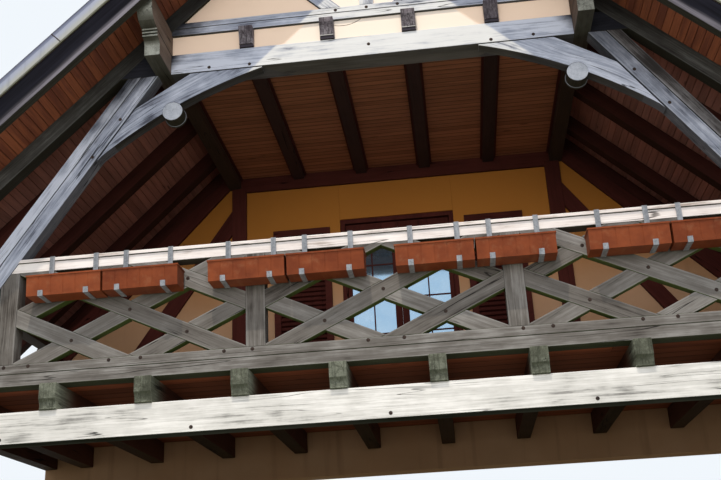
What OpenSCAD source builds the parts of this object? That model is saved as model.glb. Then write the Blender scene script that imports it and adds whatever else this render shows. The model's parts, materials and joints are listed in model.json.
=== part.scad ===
// Timber gable loggia of an alpine chalet: balcony with crossed-bar parapet,
// raking double struts with curved braces, carved purlin ends, panelled gable
// and a steep overhanging roof in front of the rendered wall of the rooms.
//
// Millimetres, +Z up, X across the front, Y into the house. The origin lies on
// the ground plane below the middle of the whole outline. Distances in depth
// are counted from the front face of the timber frame, plus to the back.

/* [Frame] */
// Distance between the balcony posts, centre to centre
bay_pitch = 1980; // [1650:10:2400]
// Number of parapet bays
bay_count = 3; // [3:2:5]
// Depth of the loggia, front of the frame to the wall of the rooms
loggia_depth = 2717; // [2000:10:3500]
// Level of the collar's underside above the top of the balcony joists
collar_clear = 2618; // [2450:10:3150]
// Distance from the end posts to the side of the house
side_gap = 730; // [650:10:900]
// Thickness of the front timbers
frame_thick = 140; // [100:5:180]

/* [Roof] */
// Roof pitch in degrees
roof_pitch = 43.6; // [38:0.2:48]
// Level of the roof boards at the eaves edge above the base
eaves_level = 1530; // [1450:10:1900]
// Reach of the eaves past the side of the house
eaves_reach = 250; // [200:10:400]
// Reach of the roof in front of the frame
verge_reach = 690; // [600:10:900]
// Depth of a rafter, square to the slope
rafter_depth = 140; // [110:5:180]
// Width of a rafter
rafter_width = 120; // [90:5:160]
// Thickness of the verge board
verge_board_thick = 38; // [28:1:50]
// Depth of the verge board under the roof boards, square to the slope
verge_board_deep = 195; // [140:5:240]
// Distance between the rafters over the loggia
rafter_pitch = 790; // [700:10:900]
// Thickness of the roof boards
roof_board = 24; // [18:1:35]
// Thickness of the battens and covering on the boards
covering_thick = 121; // [80:1:150]
// Thickness of the verge strip
verge_sheet = 3; // [2:0.5:6]
// Reach of the verge strip's hem in front of its face
verge_hem = 8; // [5:1:15]
// Set-back of the verge strip's upper part
verge_step = 16; // [10:1:25]
// Radius of the half-round ridge tiles
ridge_radius = 125; // [115:1:135]
// Length that each ridge tile shows
ridge_tile_length = 360; // [300:5:420]

/* [Balcony] */
// Height of the beam under the joists
lower_beam_height = 240; // [180:5:300]
// Height of a balcony joist
joist_height = 200; // [150:5:260]
// Width of a balcony joist
joist_width = 130; // [100:5:170]
// Distance between the balcony joists
joist_pitch = 738; // [600:1:900]
// Projection of the joist heads
joist_nose = 50; // [35:5:90]
// Thickness of the floor boards
floor_board = 35; // [25:1:50]
// Height of the sill plate
sill_height = 170; // [130:5:220]
// Width of the balcony posts
post_width = 150; // [110:5:190]
// Height of the open lattice
lattice_height = 750; // [620:10:900]
// Width of a lattice bar
bar_width = 130; // [80:5:150]
// Thickness of a lattice bar
bar_thick = 80; // [50:5:100]
// Set-back of the lapped bars behind the bars that run through
lap_step = 3; // [1:0.5:8]
// Height of the handrail
rail_height = 80; // [60:5:120]
// Depth of the handrail
rail_depth = 130; // [100:5:160]
// Thickness of the handrail's cap
cap_thick = 30; // [20:1:45]
// Overhang of the cap past the handrail
cap_lip = 15; // [5:1:30]

/* [Flower boxes] */
// Length of a flower box
box_length = 588; // [480:4:640]
// Gap between the two boxes of a pair
box_gap = 18; // [14:1:30]
// Distance between the pairs of boxes, centre to centre
pair_pitch = 1430; // [1320:10:1600]
// Depth of a flower box at its rim
box_depth = 190; // [150:5:230]
// Height of a flower box
box_height = 165; // [120:5:200]
// Wall of a flower box
box_wall = 6; // [4:1:10]
// Distance between the grooves in a flower box's front
rib_pitch = 98; // [60:1:140]
// Drop of the box's rim below the handrail's top
box_drop = 215; // [190:5:300]
// Width of a hanger's strap
strap_width = 40; // [25:5:60]
// Thickness of a hanger's strap
strap_thick = 5; // [3:0.5:8]

/* [Truss] */
// Width of the strut's inner timber, square to its length
inner_strut = 125; // [100:5:150]
// Width of the strut's outer timber, square to its length
outer_strut = 100; // [80:5:130]
// Height of the collar and of the purlin bolsters
collar_height = 188; // [150:2:230]
// Depth of the collar between the purlins, front to back
collar_depth = 215; // [140:5:240]
// Height of the attic joists and of the side purlins
attic_joist_height = 194; // [150:2:230]
// Width of an attic joist
attic_joist_width = 118; // [90:2:140]
// Height of the ceiling's underside over the foot of the attic joists
ceiling_lift = 60; // [40:5:120]
// Distance between the attic joists
attic_joist_pitch = 696; // [550:1:800]
// Projection of the attic joists' heads
attic_joist_nose = 60; // [40:5:90]
// Width of a purlin and of its bolster
purlin_width = 130; // [110:5:170]
// Height of the upright face of a bolster's end
bolster_face = 92; // [70:2:110]
// Rise of the curved brace's lower edge over its chord
brace_rise = 82; // [60:2:130]
// Radius of the round log ends
log_radius = 85; // [60:5:100]
// Height of the upper sill beam
upper_sill_height = 120; // [90:5:150]
// Width of the gable's king post and braces
gable_timber = 120; // [90:5:150]

/* [Back wall] */
// Thickness of the wall of the rooms
wall_thick = 240; // [180:5:360]
// Width of the door opening
door_width = 1230; // [1000:10:1500]
// Height of the door opening above the floor joists
door_height = 2290; // [2000:10:2400]
// Width of a door frame member
door_frame_width = 50; // [40:1:70]
// Width of a stile of the door leaves
stile_width = 45; // [40:1:80]
// Height of the closed panel at the foot of a door leaf
kick_height = 560; // [300:10:800]
// Thickness of a door leaf
leaf_thick = 58; // [45:1:70]
// Width of a shutter
shutter_width = 620; // [500:5:680]
// Thickness of a shutter
shutter_thick = 34; // [28:1:45]
// Width of the posts shown in the back wall
back_post_width = 160; // [120:5:200]
// Projection of the back wall's timbers from the render
timber_relief = 40; // [20:5:60]

/* [Hidden] */
$fn = 48;

// Clearance between pieces that meet on a curved or a slanting seat
seat_gap = 0.3;

// Levels above the base
joist_top = lower_beam_height + joist_height;
sill_top = joist_top + sill_height;
lattice_top = sill_top + lattice_height;
rail_top = lattice_top + rail_height;
cap_top = rail_top + cap_thick;
floor_top = joist_top + floor_board;
collar_low = joist_top + collar_clear;
collar_top = collar_low + collar_height;
attic_level = collar_top + attic_joist_height;
upper_sill_top = attic_level + upper_sill_height;

// Places across the front
end_post_x = bay_pitch * bay_count / 2;
side_x = end_post_x + side_gap;
side_wall = 120;
wall_end = side_x + side_wall / 2;
eaves_x = side_x + eaves_reach;
sill_end = side_x + 150;

// Roof planes
slope = tan(roof_pitch);
ridge_level = eaves_level + slope * eaves_x;
rafter_drop = rafter_depth / cos(roof_pitch);
function boards_z(x) = ridge_level - slope * abs(x);
function rafter_z(x) = boards_z(x) - rafter_drop;

// Side purlins: the attic joists' top lies this much over the rafter's underside
purlin_overlap = 24;
purlin_x = (ridge_level - rafter_drop - attic_level + purlin_overlap) / slope;
purlin_in = purlin_x - purlin_width / 2;
purlin_out = purlin_x + purlin_width / 2;

// Places in depth
back_face = loggia_depth;
back_end = loggia_depth + wall_thick;
front_y = -(back_end - verge_reach) / 2;
bearing = 120;
sill_depth = 160;
render_front = 25;
render_thick = 80;

// Carved ends
bolster_nose = 325;
bolster_lip = 400;
purlin_nose = 560;

// Joint line between the strut's two timbers, from the sill to the collar
strut_foot_x = side_x - 63;
strut_head_x = purlin_x + 195;
strut_tilt = atan2(collar_low - sill_top, strut_foot_x - strut_head_x);
function strut_x(z) = strut_foot_x - (z - sill_top) / tan(strut_tilt);
strut_in = inner_strut / sin(strut_tilt);
strut_out = outer_strut / sin(strut_tilt);
function strut_face_x(z) = strut_x(z) - strut_in;

// Curved brace, from the strut's inner face to a tip under the collar
brace_foot_z = collar_low - 758;
brace_neck_z = collar_low - 298;
brace_heel_x = purlin_x - 235;
brace_tip_x = purlin_x - 855;
brace_tip = 16;
brace_thick = 110;
brace_start = [brace_tip_x, collar_low - brace_tip];
brace_end = [strut_face_x(brace_foot_z) - seat_gap, brace_foot_z];
arc_steps = 24;

// Point at share t of an arc from a to b that rises by rise over its chord
function arc_radius(a, b, rise) = norm(b - a) * norm(b - a) / (8 * rise) + rise / 2;
function arc_centre(a, b, rise) =
    (a + b) / 2 - (arc_radius(a, b, rise) - rise) * [a.y - b.y, b.x - a.x] / norm(b - a);
function arc_point(a, b, rise, t) =
    let (c = arc_centre(a, b, rise), r = arc_radius(a, b, rise),
        start = atan2(a.y - c.y, a.x - c.x), sweep = 2 * asin(norm(b - a) / 2 / r))
    c + r * [cos(start - sweep * t), sin(start - sweep * t)];

// Points of a hollow from a to b
function hollow(a, b, depth, steps) = [for (k = [0:steps]) arc_point(b, a, depth, 1 - k / steps)];

// Points of a quarter ellipse from one corner of its box to the other, upright at its end
function ovolo(start, reach, rise, steps) =
    [for (k = [0:steps]) start + [-reach * sin(90 * k / steps), rise * (1 - cos(90 * k / steps))]];

// Carved head of a joist, from its foot to its top: band, fillet, hollow, upright face and
// rounded nose. Depth counts from the front of the frame, height from the joist's foot.
head_foot = 16;
head_fillet = 10;
head_quirk = 5;
head_hollow = 6;
nose_round = 12;
round_steps = 4;
function joist_head(nose, height, band, face) = concat(
    band > 0 ? [[-head_foot, 0], [-head_foot, band]] : [],
    [[-head_foot - head_fillet, band], [-head_foot - head_fillet, band + head_fillet]],
    hollow([-head_foot - head_quirk, band + head_fillet], [-nose, height - face], head_hollow, 6),
    [for (k = [0:round_steps]) [
        -nose + nose_round * (1 - cos(90 * k / round_steps)),
        height - nose_round * (1 - sin(90 * k / round_steps))
    ]]);

function raised(points, level) = [for (p = points) p + [0, level]];

// Groove along X in the front of a timber
groove_half = 5;
groove_depth = 8;
module front_groove(level, reach)
    profile([[-1, level - groove_half], [groove_depth, level], [-1, level + groove_half]], -reach, reach);

// Round log end, hung on the lower edge of the brace
log_share = 0.517;
log_drop = 28;
log_centre = arc_point(brace_start, brace_end, brace_rise, log_share) - [0, log_drop];
log_back_radius = log_radius + 8;
log_back_length = 25;

// Colours
silver = [0.50, 0.48, 0.49];
grey = [0.38, 0.36, 0.37];
brown = [0.34, 0.20, 0.12];
maroon = [0.22, 0.11, 0.09];
soffit = [0.50, 0.24, 0.12];
peach = [0.93, 0.80, 0.60];
ochre = [0.72, 0.55, 0.28];
tile = [0.50, 0.22, 0.15];
clay = [0.72, 0.36, 0.24];
metal = [0.66, 0.66, 0.70];
pane = [0.70, 0.80, 0.90, 0.5];

// Block between two corners, in depth from the front of the frame
module block(low, high)
    translate([low.x, front_y + low.y, low.z]) cube(high - low);

// Outline in the plane of the front, drawn in X and Z, from depth y0 to y1
module plate(outline, y0, y1)
    translate([0, front_y + y1, 0]) rotate([90, 0, 0])
        linear_extrude(y1 - y0) polygon(outline);

// Outline across the depth, drawn in Y and Z, from x0 to x1
module profile(outline, x0, x1)
    translate([x0, front_y, 0]) rotate([90, 0, 90])
        linear_extrude(x1 - x0) polygon(outline);

module both_sides() {
    children();
    mirror([1, 0, 0]) children();
}

// Half of the roof's section between two distances over the boards' underside
module roof_layer(low, high, x0, x1, y0, y1)
    plate([
        [x0, boards_z(x0) + low / cos(roof_pitch)],
        [x1, boards_z(x1) + low / cos(roof_pitch)],
        [x1, boards_z(x1) + high / cos(roof_pitch)],
        [x0, boards_z(x0) + high / cos(roof_pitch)]
    ], y0, y1);

// Everything on the strut's side of its inner face, to trim what meets it
module strut_zone()
    both_sides() plate([
        [strut_face_x(joist_top) - seat_gap, joist_top],
        [sill_end + 500, joist_top],
        [sill_end + 500, collar_low],
        [strut_face_x(collar_low) - seat_gap, collar_low]
    ], -verge_reach, back_end);

// Balcony
module lower_beam()
    color(grey) block([-sill_end, 0, 0], [sill_end, sill_depth, lower_beam_height]);

// The last joist of each row keeps clear of the joist under the side wall
last_joist_clear = 250;
joist_rows = ceil((side_x - last_joist_clear) / joist_pitch - 0.5);
joist_face = 120;
joist_places = concat(
    [for (k = [0:joist_rows - 1]) joist_pitch * (k + 0.5)],
    [side_x]);

module joist_at(x)
    profile(concat(
        [[back_face + bearing, joist_top], [back_face + bearing, lower_beam_height]],
        raised(joist_head(joist_nose, joist_height, 0, joist_face), lower_beam_height)
    ), x - joist_width / 2, x + joist_width / 2);

module floor_joists()
    color(grey) both_sides() for (x = joist_places) joist_at(x);

module floor_boards()
    color(brown) block([-wall_end, sill_depth, joist_top], [wall_end, back_face, floor_top]);

sill_groove = 94;

module sill_plate()
    color(silver) difference() {
        block([-sill_end, 0, joist_top], [sill_end, sill_depth, sill_top]);
        front_groove(joist_top + sill_groove, sill_end + 1);
    }

post_places = [for (k = [0:bay_count]) (k - bay_count / 2) * bay_pitch];

module balcony_posts()
    color(grey) difference() {
        for (x = post_places)
            block([x - post_width / 2, 0, sill_top], [x + post_width / 2, rail_depth, lattice_top]);
        strut_zone();
    }

// Lattice: three rising and three falling bars, crossing at quarters of the bay
cross_x = (bay_pitch - post_width) / 4;
cross_z = 215.5;
bar_tilt = atan2(cross_z, cross_x);

module bars(tilt, y0)
    for (k = [-1:1])
        translate([k * 2 * cross_x, 0, 0]) rotate([0, -tilt, 0])
            translate([-bay_pitch, y0, -bar_width / 2]) cube([2 * bay_pitch, bar_thick, bar_width]);

module lattice(bay, through)
    color(silver) translate([bay * bay_pitch, front_y, (sill_top + lattice_top) / 2])
        intersection() {
            union() {
                bars(through * bar_tilt, 0);
                bars(-through * bar_tilt, lap_step);
            }
            translate([-2 * cross_x, -1, -lattice_height / 2])
                cube([4 * cross_x, bar_thick + lap_step + 2, lattice_height]);
        }

module lattice_left() lattice(-1, -1);

module lattice_middle() lattice(0, 1);

module lattice_right() lattice(1, -1);

module handrail()
    color(silver) difference() {
        block([-sill_end, 0, lattice_top], [sill_end, rail_depth, rail_top]);
        strut_zone();
    }

module handrail_cap()
    color(silver) difference() {
        block([-sill_end, -cap_lip, rail_top], [sill_end, rail_depth + cap_lip, cap_top]);
        strut_zone();
    }

// Flower boxes, hung in front of the handrail on flat steel hooks
box_back = -cap_lip - strap_thick;
box_front = box_back - box_depth;
box_rim = cap_top - box_drop;
box_foot = box_rim - box_height;
box_taper = 16;
rim_lip = 6;
rim_height = 14;
rib_groove = 2.5;
rib_half = 4;
rib_foot = 10;
rib_count = round(box_length / rib_pitch) - 1;
strap_reach = 180;
pair_count = floor(2 * strut_face_x(cap_top) / pair_pitch);
box_places = [
    for (k = [0:pair_count - 1], side = [-1, 1])
        (k - (pair_count - 1) / 2) * pair_pitch + side * (box_length + box_gap) / 2
];

function box_front_y(z) = box_front + box_taper * (box_rim - z) / box_height;

module box_groove(x)
    profile([
        [box_front_y(box_rim - rim_height) - 1, box_rim - rim_height],
        [box_front_y(box_rim - rim_height) + rib_groove, box_rim - rim_height],
        [box_front_y(box_foot + rib_foot) + rib_groove, box_foot + rib_foot],
        [box_front_y(box_foot + rib_foot) - 1, box_foot + rib_foot]
    ], x - rib_half, x + rib_half);

module flower_boxes()
    color(clay) for (x = box_places)
        difference() {
            union() {
                profile([
                    [box_back, box_foot], [box_back, box_rim], [box_front, box_rim],
                    [box_front + box_taper, box_foot]
                ], x - box_length / 2, x + box_length / 2);
                block([x - box_length / 2 - rim_lip, box_front - rim_lip, box_rim - rim_height],
                    [x + box_length / 2 + rim_lip, box_back, box_rim]);
            }
            for (k = [0:rib_count - 1])
                box_groove(x + (k - (rib_count - 1) / 2) * rib_pitch);
            profile([
                [box_back - box_wall, box_foot + box_wall], [box_back - box_wall, box_rim + 1],
                [box_front + box_wall, box_rim + 1], [box_front + box_taper + box_wall, box_foot + box_wall]
            ], x - box_length / 2 + box_wall, x + box_length / 2 - box_wall);
        }

strap_tail = 60;
strap_lip = 40;
strap_lean = 6;

module box_hangers()
    color(metal) for (x = box_places, side = [-1, 1])
        profile([
            [-cap_lip, box_foot - strap_thick], [-cap_lip, cap_top],
            [rail_depth + cap_lip, cap_top], [rail_depth + cap_lip, cap_top - strap_tail],
            [rail_depth + cap_lip + strap_thick, cap_top - strap_tail],
            [rail_depth + cap_lip + strap_thick, cap_top + strap_thick],
            [box_back, cap_top + strap_thick], [box_back, box_foot],
            [box_front + box_taper, box_foot], [box_front + box_taper - strap_lean, box_foot + strap_lip],
            [box_front + box_taper - strap_lean - strap_thick, box_foot + strap_lip],
            [box_front + box_taper - strap_thick, box_foot - strap_thick]
        ], x + side * strap_reach - strap_width / 2, x + side * strap_reach + strap_width / 2);

// Truss
module inner_struts()
    color(silver) both_sides() plate([
        [strut_x(sill_top), sill_top], [strut_x(collar_low), collar_low],
        [strut_face_x(collar_low), collar_low], [strut_face_x(sill_top), sill_top]
    ], 0, frame_thick);

module outer_struts()
    color(silver) both_sides() plate([
        [strut_x(sill_top), sill_top], [strut_x(sill_top) + strut_out, sill_top],
        [strut_x(collar_low) + strut_out, collar_low], [strut_x(collar_low), collar_low]
    ], 0, frame_thick);

module log_hole()
    translate([log_centre.x, front_y - 1, log_centre.y]) rotate([-90, 0, 0])
        cylinder(r = log_radius + seat_gap, h = brace_thick + 2);

module curved_braces()
    color(silver) both_sides() difference() {
        plate(concat(
            [for (k = [0:arc_steps]) arc_point(brace_start, brace_end, brace_rise, k / arc_steps)],
            [
                [strut_face_x(brace_neck_z) - seat_gap, brace_neck_z],
                [brace_heel_x, collar_low], [brace_tip_x, collar_low]
            ]), 0, brace_thick);
        log_hole();
    }

module log_ends()
    color(silver) both_sides() translate([log_centre.x, front_y, log_centre.y]) rotate([-90, 0, 0]) {
        cylinder(r = log_radius, h = brace_thick + seat_gap);
        translate([0, 0, brace_thick + seat_gap])
            cylinder(r = log_back_radius, h = log_back_length);
    }

function rafter_x(z) = (ridge_level - rafter_drop - z) / slope;

module collar_beam()
    color(silver) {
        block([-purlin_in, 0, collar_low], [purlin_in, collar_depth, collar_top]);
        both_sides() plate([
            [purlin_out, collar_low], [rafter_x(collar_low), collar_low],
            [rafter_x(collar_top), collar_top], [purlin_out, collar_top]
        ], 0, frame_thick);
    }

attic_rows = floor((purlin_in - attic_joist_width) / attic_joist_pitch + 0.5);
attic_places = [for (k = [0:attic_rows - 1]) attic_joist_pitch * (k + 0.5)];

attic_band = 26;
attic_face = 50;

module attic_joists()
    color(brown) both_sides() for (x = attic_places)
        profile(concat(
            [[back_face + bearing, attic_level], [back_face + bearing, collar_top]],
            raised(joist_head(attic_joist_nose, attic_joist_height, attic_band, attic_face), collar_top)
        ), x - attic_joist_width / 2, x + attic_joist_width / 2);

// Room taken by the attic joists over a level
module attic_joist_slots(low)
    both_sides() for (x = attic_places)
        block([x - attic_joist_width / 2, 0, low], [x + attic_joist_width / 2, back_face, attic_level + 1]);

render_back = render_front + render_thick;

module joist_infill()
    color(peach) difference() {
        block([-purlin_in, render_front, collar_top], [purlin_in, render_back, attic_level]);
        attic_joist_slots(collar_top - 1);
    }

// Boarded ceiling between the attic joists, on cleats along their sides
ceiling_board = 20;
ceiling_cleat = 24;
ceiling_low = collar_top + ceiling_lift;
cleat_low = ceiling_low - ceiling_cleat;
cleat_back = back_face - timber_relief;
cleat_reach = attic_joist_width / 2 + ceiling_cleat;

module ceiling_boards()
    color(soffit) difference() {
        union() {
            block([-purlin_in, render_back, ceiling_low], [purlin_in, back_face, ceiling_low + ceiling_board]);
            both_sides() {
                block([purlin_in - ceiling_cleat, render_back, cleat_low], [purlin_in, cleat_back, ceiling_low]);
                for (x = attic_places)
                    block([x - cleat_reach, render_back, cleat_low], [x + cleat_reach, cleat_back, ceiling_low]);
            }
        }
        attic_joist_slots(collar_top - 1);
    }

// Bolster end: upright face, a hollow sweeping out, and two fillets with a quirk over each.
bolster_fillet = 16;
bolster_quirk = 9;
quirk_depth = 12;
bolster_hollow = 9;
bolster_hollow_top = collar_height - 2 * (bolster_fillet + bolster_quirk);
bolster_hollow_in = bolster_lip - 22;
lower_fillet = 8;

// Behind the collar the bolster's underside slants up to a shallower part
bolster_full = 120;
bolster_cut = 130;
bolster_back_low = collar_low + bolster_cut;

function fillet(lip, low) = [[-lip, low], [-lip, low + bolster_fillet],
    [-lip + quirk_depth, low + bolster_fillet], [-lip + quirk_depth, low + bolster_fillet + bolster_quirk]];

module purlin_bolsters()
    color(silver) both_sides() profile(concat(
        [
            [back_face + bearing, collar_top], [back_face + bearing, bolster_back_low],
            [collar_depth + bolster_full + bolster_cut, bolster_back_low],
            [collar_depth + bolster_full, collar_low], [-bolster_nose, collar_low]
        ],
        raised(concat(
            hollow([-bolster_nose, bolster_face], [-bolster_hollow_in, bolster_hollow_top], bolster_hollow, 6),
            fillet(bolster_lip - lower_fillet, bolster_hollow_top),
            fillet(bolster_lip, collar_height - bolster_fillet - bolster_quirk)
        ), collar_low)), purlin_in, purlin_out);

// Section of a side purlin with its top bevelled to the rafters
module purlin_section(x, low)
    plate([
        [x - purlin_width / 2, low], [x + purlin_width / 2, low],
        [x + purlin_width / 2, rafter_z(x + purlin_width / 2)],
        [x - purlin_width / 2, rafter_z(x - purlin_width / 2)]
    ], -purlin_nose, back_face + bearing);

// Purlin end: a fillet and a full ovolo up to the nose
purlin_lip = bolster_lip + 10;
purlin_fillet = 14;
ovolo_step = 12;
ovolo_rise = 136;

module purlin_end(low, high)
    profile(concat(
        [
            [back_face + bearing, high], [back_face + bearing, low],
            [-purlin_lip, low], [-purlin_lip, low + purlin_fillet]
        ],
        ovolo([-purlin_lip - ovolo_step, low + purlin_fillet], purlin_nose - purlin_lip - ovolo_step, ovolo_rise, 8),
        [[-purlin_nose, high]]
    ), -eaves_x, eaves_x);

eaves_purlin_deep = 150;
eaves_purlin_low = rafter_z(side_x) - eaves_purlin_deep;
ridge_purlin_half = 60;
ridge_purlin_deep = 200;
ridge_purlin_low = rafter_z(0) - ridge_purlin_deep;

module roof_purlins()
    color(silver) {
        both_sides() intersection() {
            purlin_section(purlin_x, collar_top);
            purlin_end(collar_top, ridge_level);
        }
        both_sides() intersection() {
            purlin_section(side_x, eaves_purlin_low);
            purlin_end(eaves_purlin_low, ridge_level);
        }
        plate([
            [-ridge_purlin_half, ridge_purlin_low], [ridge_purlin_half, ridge_purlin_low],
            [ridge_purlin_half, rafter_z(ridge_purlin_half)], [0, rafter_z(0)],
            [-ridge_purlin_half, rafter_z(ridge_purlin_half)]
        ], -purlin_nose, back_face + bearing);
    }

upper_groove = 0.55;

module upper_sill_beam()
    color(silver) difference() {
        plate([
            [-purlin_in, attic_level], [purlin_in, attic_level], [purlin_in, rafter_z(purlin_in)],
            [rafter_x(upper_sill_top), upper_sill_top], [-rafter_x(upper_sill_top), upper_sill_top],
            [-purlin_in, rafter_z(purlin_in)]
        ], 0, frame_thick);
        front_groove(attic_level + upper_sill_height * upper_groove, purlin_out);
    }

gable_thick = frame_thick - 20;

module king_post()
    color(grey) block([-gable_timber / 2, 0, upper_sill_top], [gable_timber / 2, gable_thick, ridge_purlin_low]);

// Gable brace: leans outwards from the sill at 45 degrees and meets the rafter. The same
// outline cuts the plaster, and then runs on past the rafter.
gable_brace_foot = 305;
past_rafter = 40;

module gable_brace_shape(y0, y1, past = 0) {
    half = gable_timber / 2 / sin(45);
    head = rafter_x(upper_sill_top) - gable_brace_foot;
    far = (head - half) / (1 + 1 / slope);
    near = (head + half) / (1 + 1 / slope);
    plate([
        [gable_brace_foot + half, upper_sill_top],
        [gable_brace_foot + half + far + past, upper_sill_top + far + past],
        [gable_brace_foot - half + near + past, upper_sill_top + near + past],
        [gable_brace_foot - half, upper_sill_top]
    ], y0, y1);
}

module gable_braces()
    color(grey) both_sides() gable_brace_shape(0, gable_thick);

module gable_plaster()
    color(peach) difference() {
        plate([
            [-rafter_x(upper_sill_top), upper_sill_top], [rafter_x(upper_sill_top), upper_sill_top],
            [0, rafter_z(0)]
        ], render_front, render_front + render_thick);
        block([-gable_timber / 2, 0, upper_sill_top - 1], [gable_timber / 2, back_face, rafter_z(0) + 1]);
        both_sides() gable_brace_shape(0, back_face, past_rafter);
        block([-ridge_purlin_half, 0, ridge_purlin_low], [ridge_purlin_half, back_face, rafter_z(0) + 1]);
    }

// Verge board flush with the ends of the roof boards
verge_face = -verge_reach + verge_hem;
verge_board_front = verge_face + verge_sheet;

// Rafters: the gable rafter, those between and one on the back wall
last_rafter = back_face - 517;
least_bay = 0.4;
rafter_count = floor(last_rafter / rafter_pitch - least_bay) + 1;
rafter_places = concat(
    [0, back_face],
    [for (k = [0:rafter_count - 1]) last_rafter - k * rafter_pitch]);

module rafters_right()
    color(grey) {
        roof_layer(-verge_board_deep, 0, 0, eaves_x, verge_board_front, verge_board_front + verge_board_thick);
        for (y = rafter_places)
            roof_layer(-rafter_depth, 0, 0, eaves_x, y, y + rafter_width);
    }

module rafters_left() mirror([1, 0, 0]) rafters_right();

// Sides under the eaves
module knee_posts()
    color(grey) both_sides() for (y = [sill_depth, back_face - side_wall])
        block([side_x - side_wall / 2, y, floor_top], [wall_end, y + side_wall, eaves_purlin_low]);

eaves_slit = 250;
parapet_half = 30;

module side_parapets()
    color(brown) both_sides()
        block([side_x - parapet_half, sill_depth + side_wall, floor_top],
            [side_x + parapet_half, back_face - side_wall, eaves_purlin_low - eaves_slit]);

// Roof skin
cover_front = verge_face + verge_step + verge_sheet;
cover_top = roof_board + covering_thick;

module roof_boards_right()
    color(soffit) roof_layer(0, roof_board, 0, eaves_x, verge_board_front, back_end);

module roof_boards_left() mirror([1, 0, 0]) roof_boards_right();

module roof_covering_right()
    color(tile) roof_layer(roof_board, cover_top, 0, eaves_x, cover_front, back_end);

module roof_covering_left() mirror([1, 0, 0]) roof_covering_right();

// Half-round ridge tiles, each with a collar over the end of the one before
ridge_shell = 13;
ridge_collar = 6;
collar_length = 48;
ridge_foot_x = ridge_radius - ridge_shell - 2;
ridge_axis = boards_z(ridge_foot_x) + cover_top / cos(roof_pitch);
ridge_run = back_end - verge_face;

module ridge_ring(start, radius, length)
    translate([0, front_y + start, ridge_axis]) rotate([-90, 0, 0]) difference() {
        cylinder(r = radius, h = length);
        translate([0, 0, -1]) cylinder(r = ridge_radius - ridge_shell, h = length + 2);
    }

ridge_cut = 400;
cap_seat = (cover_top + seat_gap) / cos(roof_pitch);

module ridge_cap()
    color(tile) difference() {
        union() {
            ridge_ring(verge_face, ridge_radius, ridge_run);
            for (y = [0:ridge_tile_length:ridge_run - collar_length])
                ridge_ring(verge_face + y, ridge_radius + ridge_collar, collar_length);
        }
        plate([
            [-ridge_cut, boards_z(ridge_cut)], [ridge_cut, boards_z(ridge_cut)],
            [ridge_cut, boards_z(ridge_cut) + cap_seat], [0, ridge_level + cap_seat],
            [-ridge_cut, boards_z(ridge_cut) + cap_seat]
        ], -verge_reach - 1, back_end + 1);
    }

// Folded verge strip: hem, face, and an upper part set back against the covering
verge_ledge = 98;
hem_turn = 12;
verge_in = 0.5;

module verge_layer(low, high, y0, y1) roof_layer(low, high, verge_in, eaves_x, y0, y1);

module verge_strips()
    color(metal) both_sides() {
        verge_layer(0, verge_sheet, -verge_reach, verge_face + verge_sheet);
        verge_layer(0, hem_turn, -verge_reach, -verge_reach + verge_sheet);
        verge_layer(0, verge_ledge, verge_face, verge_face + verge_sheet);
        verge_layer(verge_ledge - verge_sheet, verge_ledge, verge_face, cover_front);
        verge_layer(verge_ledge - verge_sheet, cover_top, cover_front - verge_sheet, cover_front);
    }

// Wall of the rooms
module joist_pockets()
    both_sides() for (x = joist_places) joist_at(x);

module back_wall_base()
    color(ochre) difference() {
        block([-wall_end, back_face, 0], [wall_end, back_end, joist_top]);
        joist_pockets();
    }

module wall_notches() {
    rafters_right();
    roof_purlins();
    purlin_bolsters();
    attic_joists();
}

module back_wall_right()
    color(ochre) difference() {
        plate([
            [door_width / 2, joist_top], [wall_end, joist_top], [wall_end, boards_z(wall_end)],
            [door_width / 2, boards_z(door_width / 2)]
        ], back_face, back_end);
        wall_notches();
    }

module back_wall_left() mirror([1, 0, 0]) back_wall_right();

// Seat of the back rafters and the ridge purlin over the door
ridge_seat_x = door_width / 2 + 10;

module ridge_seat()
    plate([
        [-ridge_seat_x, rafter_z(ridge_seat_x)], [-ridge_purlin_half, rafter_z(ridge_purlin_half)],
        [-ridge_purlin_half, ridge_purlin_low], [ridge_purlin_half, ridge_purlin_low],
        [ridge_purlin_half, rafter_z(ridge_purlin_half)], [ridge_seat_x, rafter_z(ridge_seat_x)],
        [ridge_seat_x, ridge_level + 10], [-ridge_seat_x, ridge_level + 10]
    ], back_face - 10, back_face + bearing);

module back_wall_over_door()
    color(ochre) difference() {
        plate([
            [-door_width / 2, door_top], [door_width / 2, door_top],
            [door_width / 2, boards_z(door_width / 2)], [0, boards_z(0)], [-door_width / 2, boards_z(door_width / 2)]
        ], back_face, back_end);
        ridge_seat();
        attic_joists();
    }

back_post_x = purlin_x - 45;
back_beam_deep = 106;
back_beam_low = collar_top - back_beam_deep;

module back_posts()
    color(maroon) both_sides()
        block([back_post_x - back_post_width / 2, back_face - timber_relief, floor_top],
            [back_post_x + back_post_width / 2, back_face, bolster_back_low]);

module back_beam()
    color(maroon) difference() {
        block([-purlin_in, back_face - timber_relief, back_beam_low], [purlin_in, back_face, ceiling_low]);
        attic_joist_slots(collar_top);
        back_posts();
    }

// Raking timber under the back rafter, and a brace from the post to the floor
rake_head = [purlin_out, collar_top - 60];
rake_end = side_x - purlin_width / 2;
rake_drop = 1.05;
back_brace_foot = side_x - 280;
back_brace_tilt = 55;
back_brace_half = 80 / sin(back_brace_tilt);
back_post_out = back_post_x + back_post_width / 2;
function back_brace_z(foot) = floor_top + (foot - back_post_out) * tan(back_brace_tilt);

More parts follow.
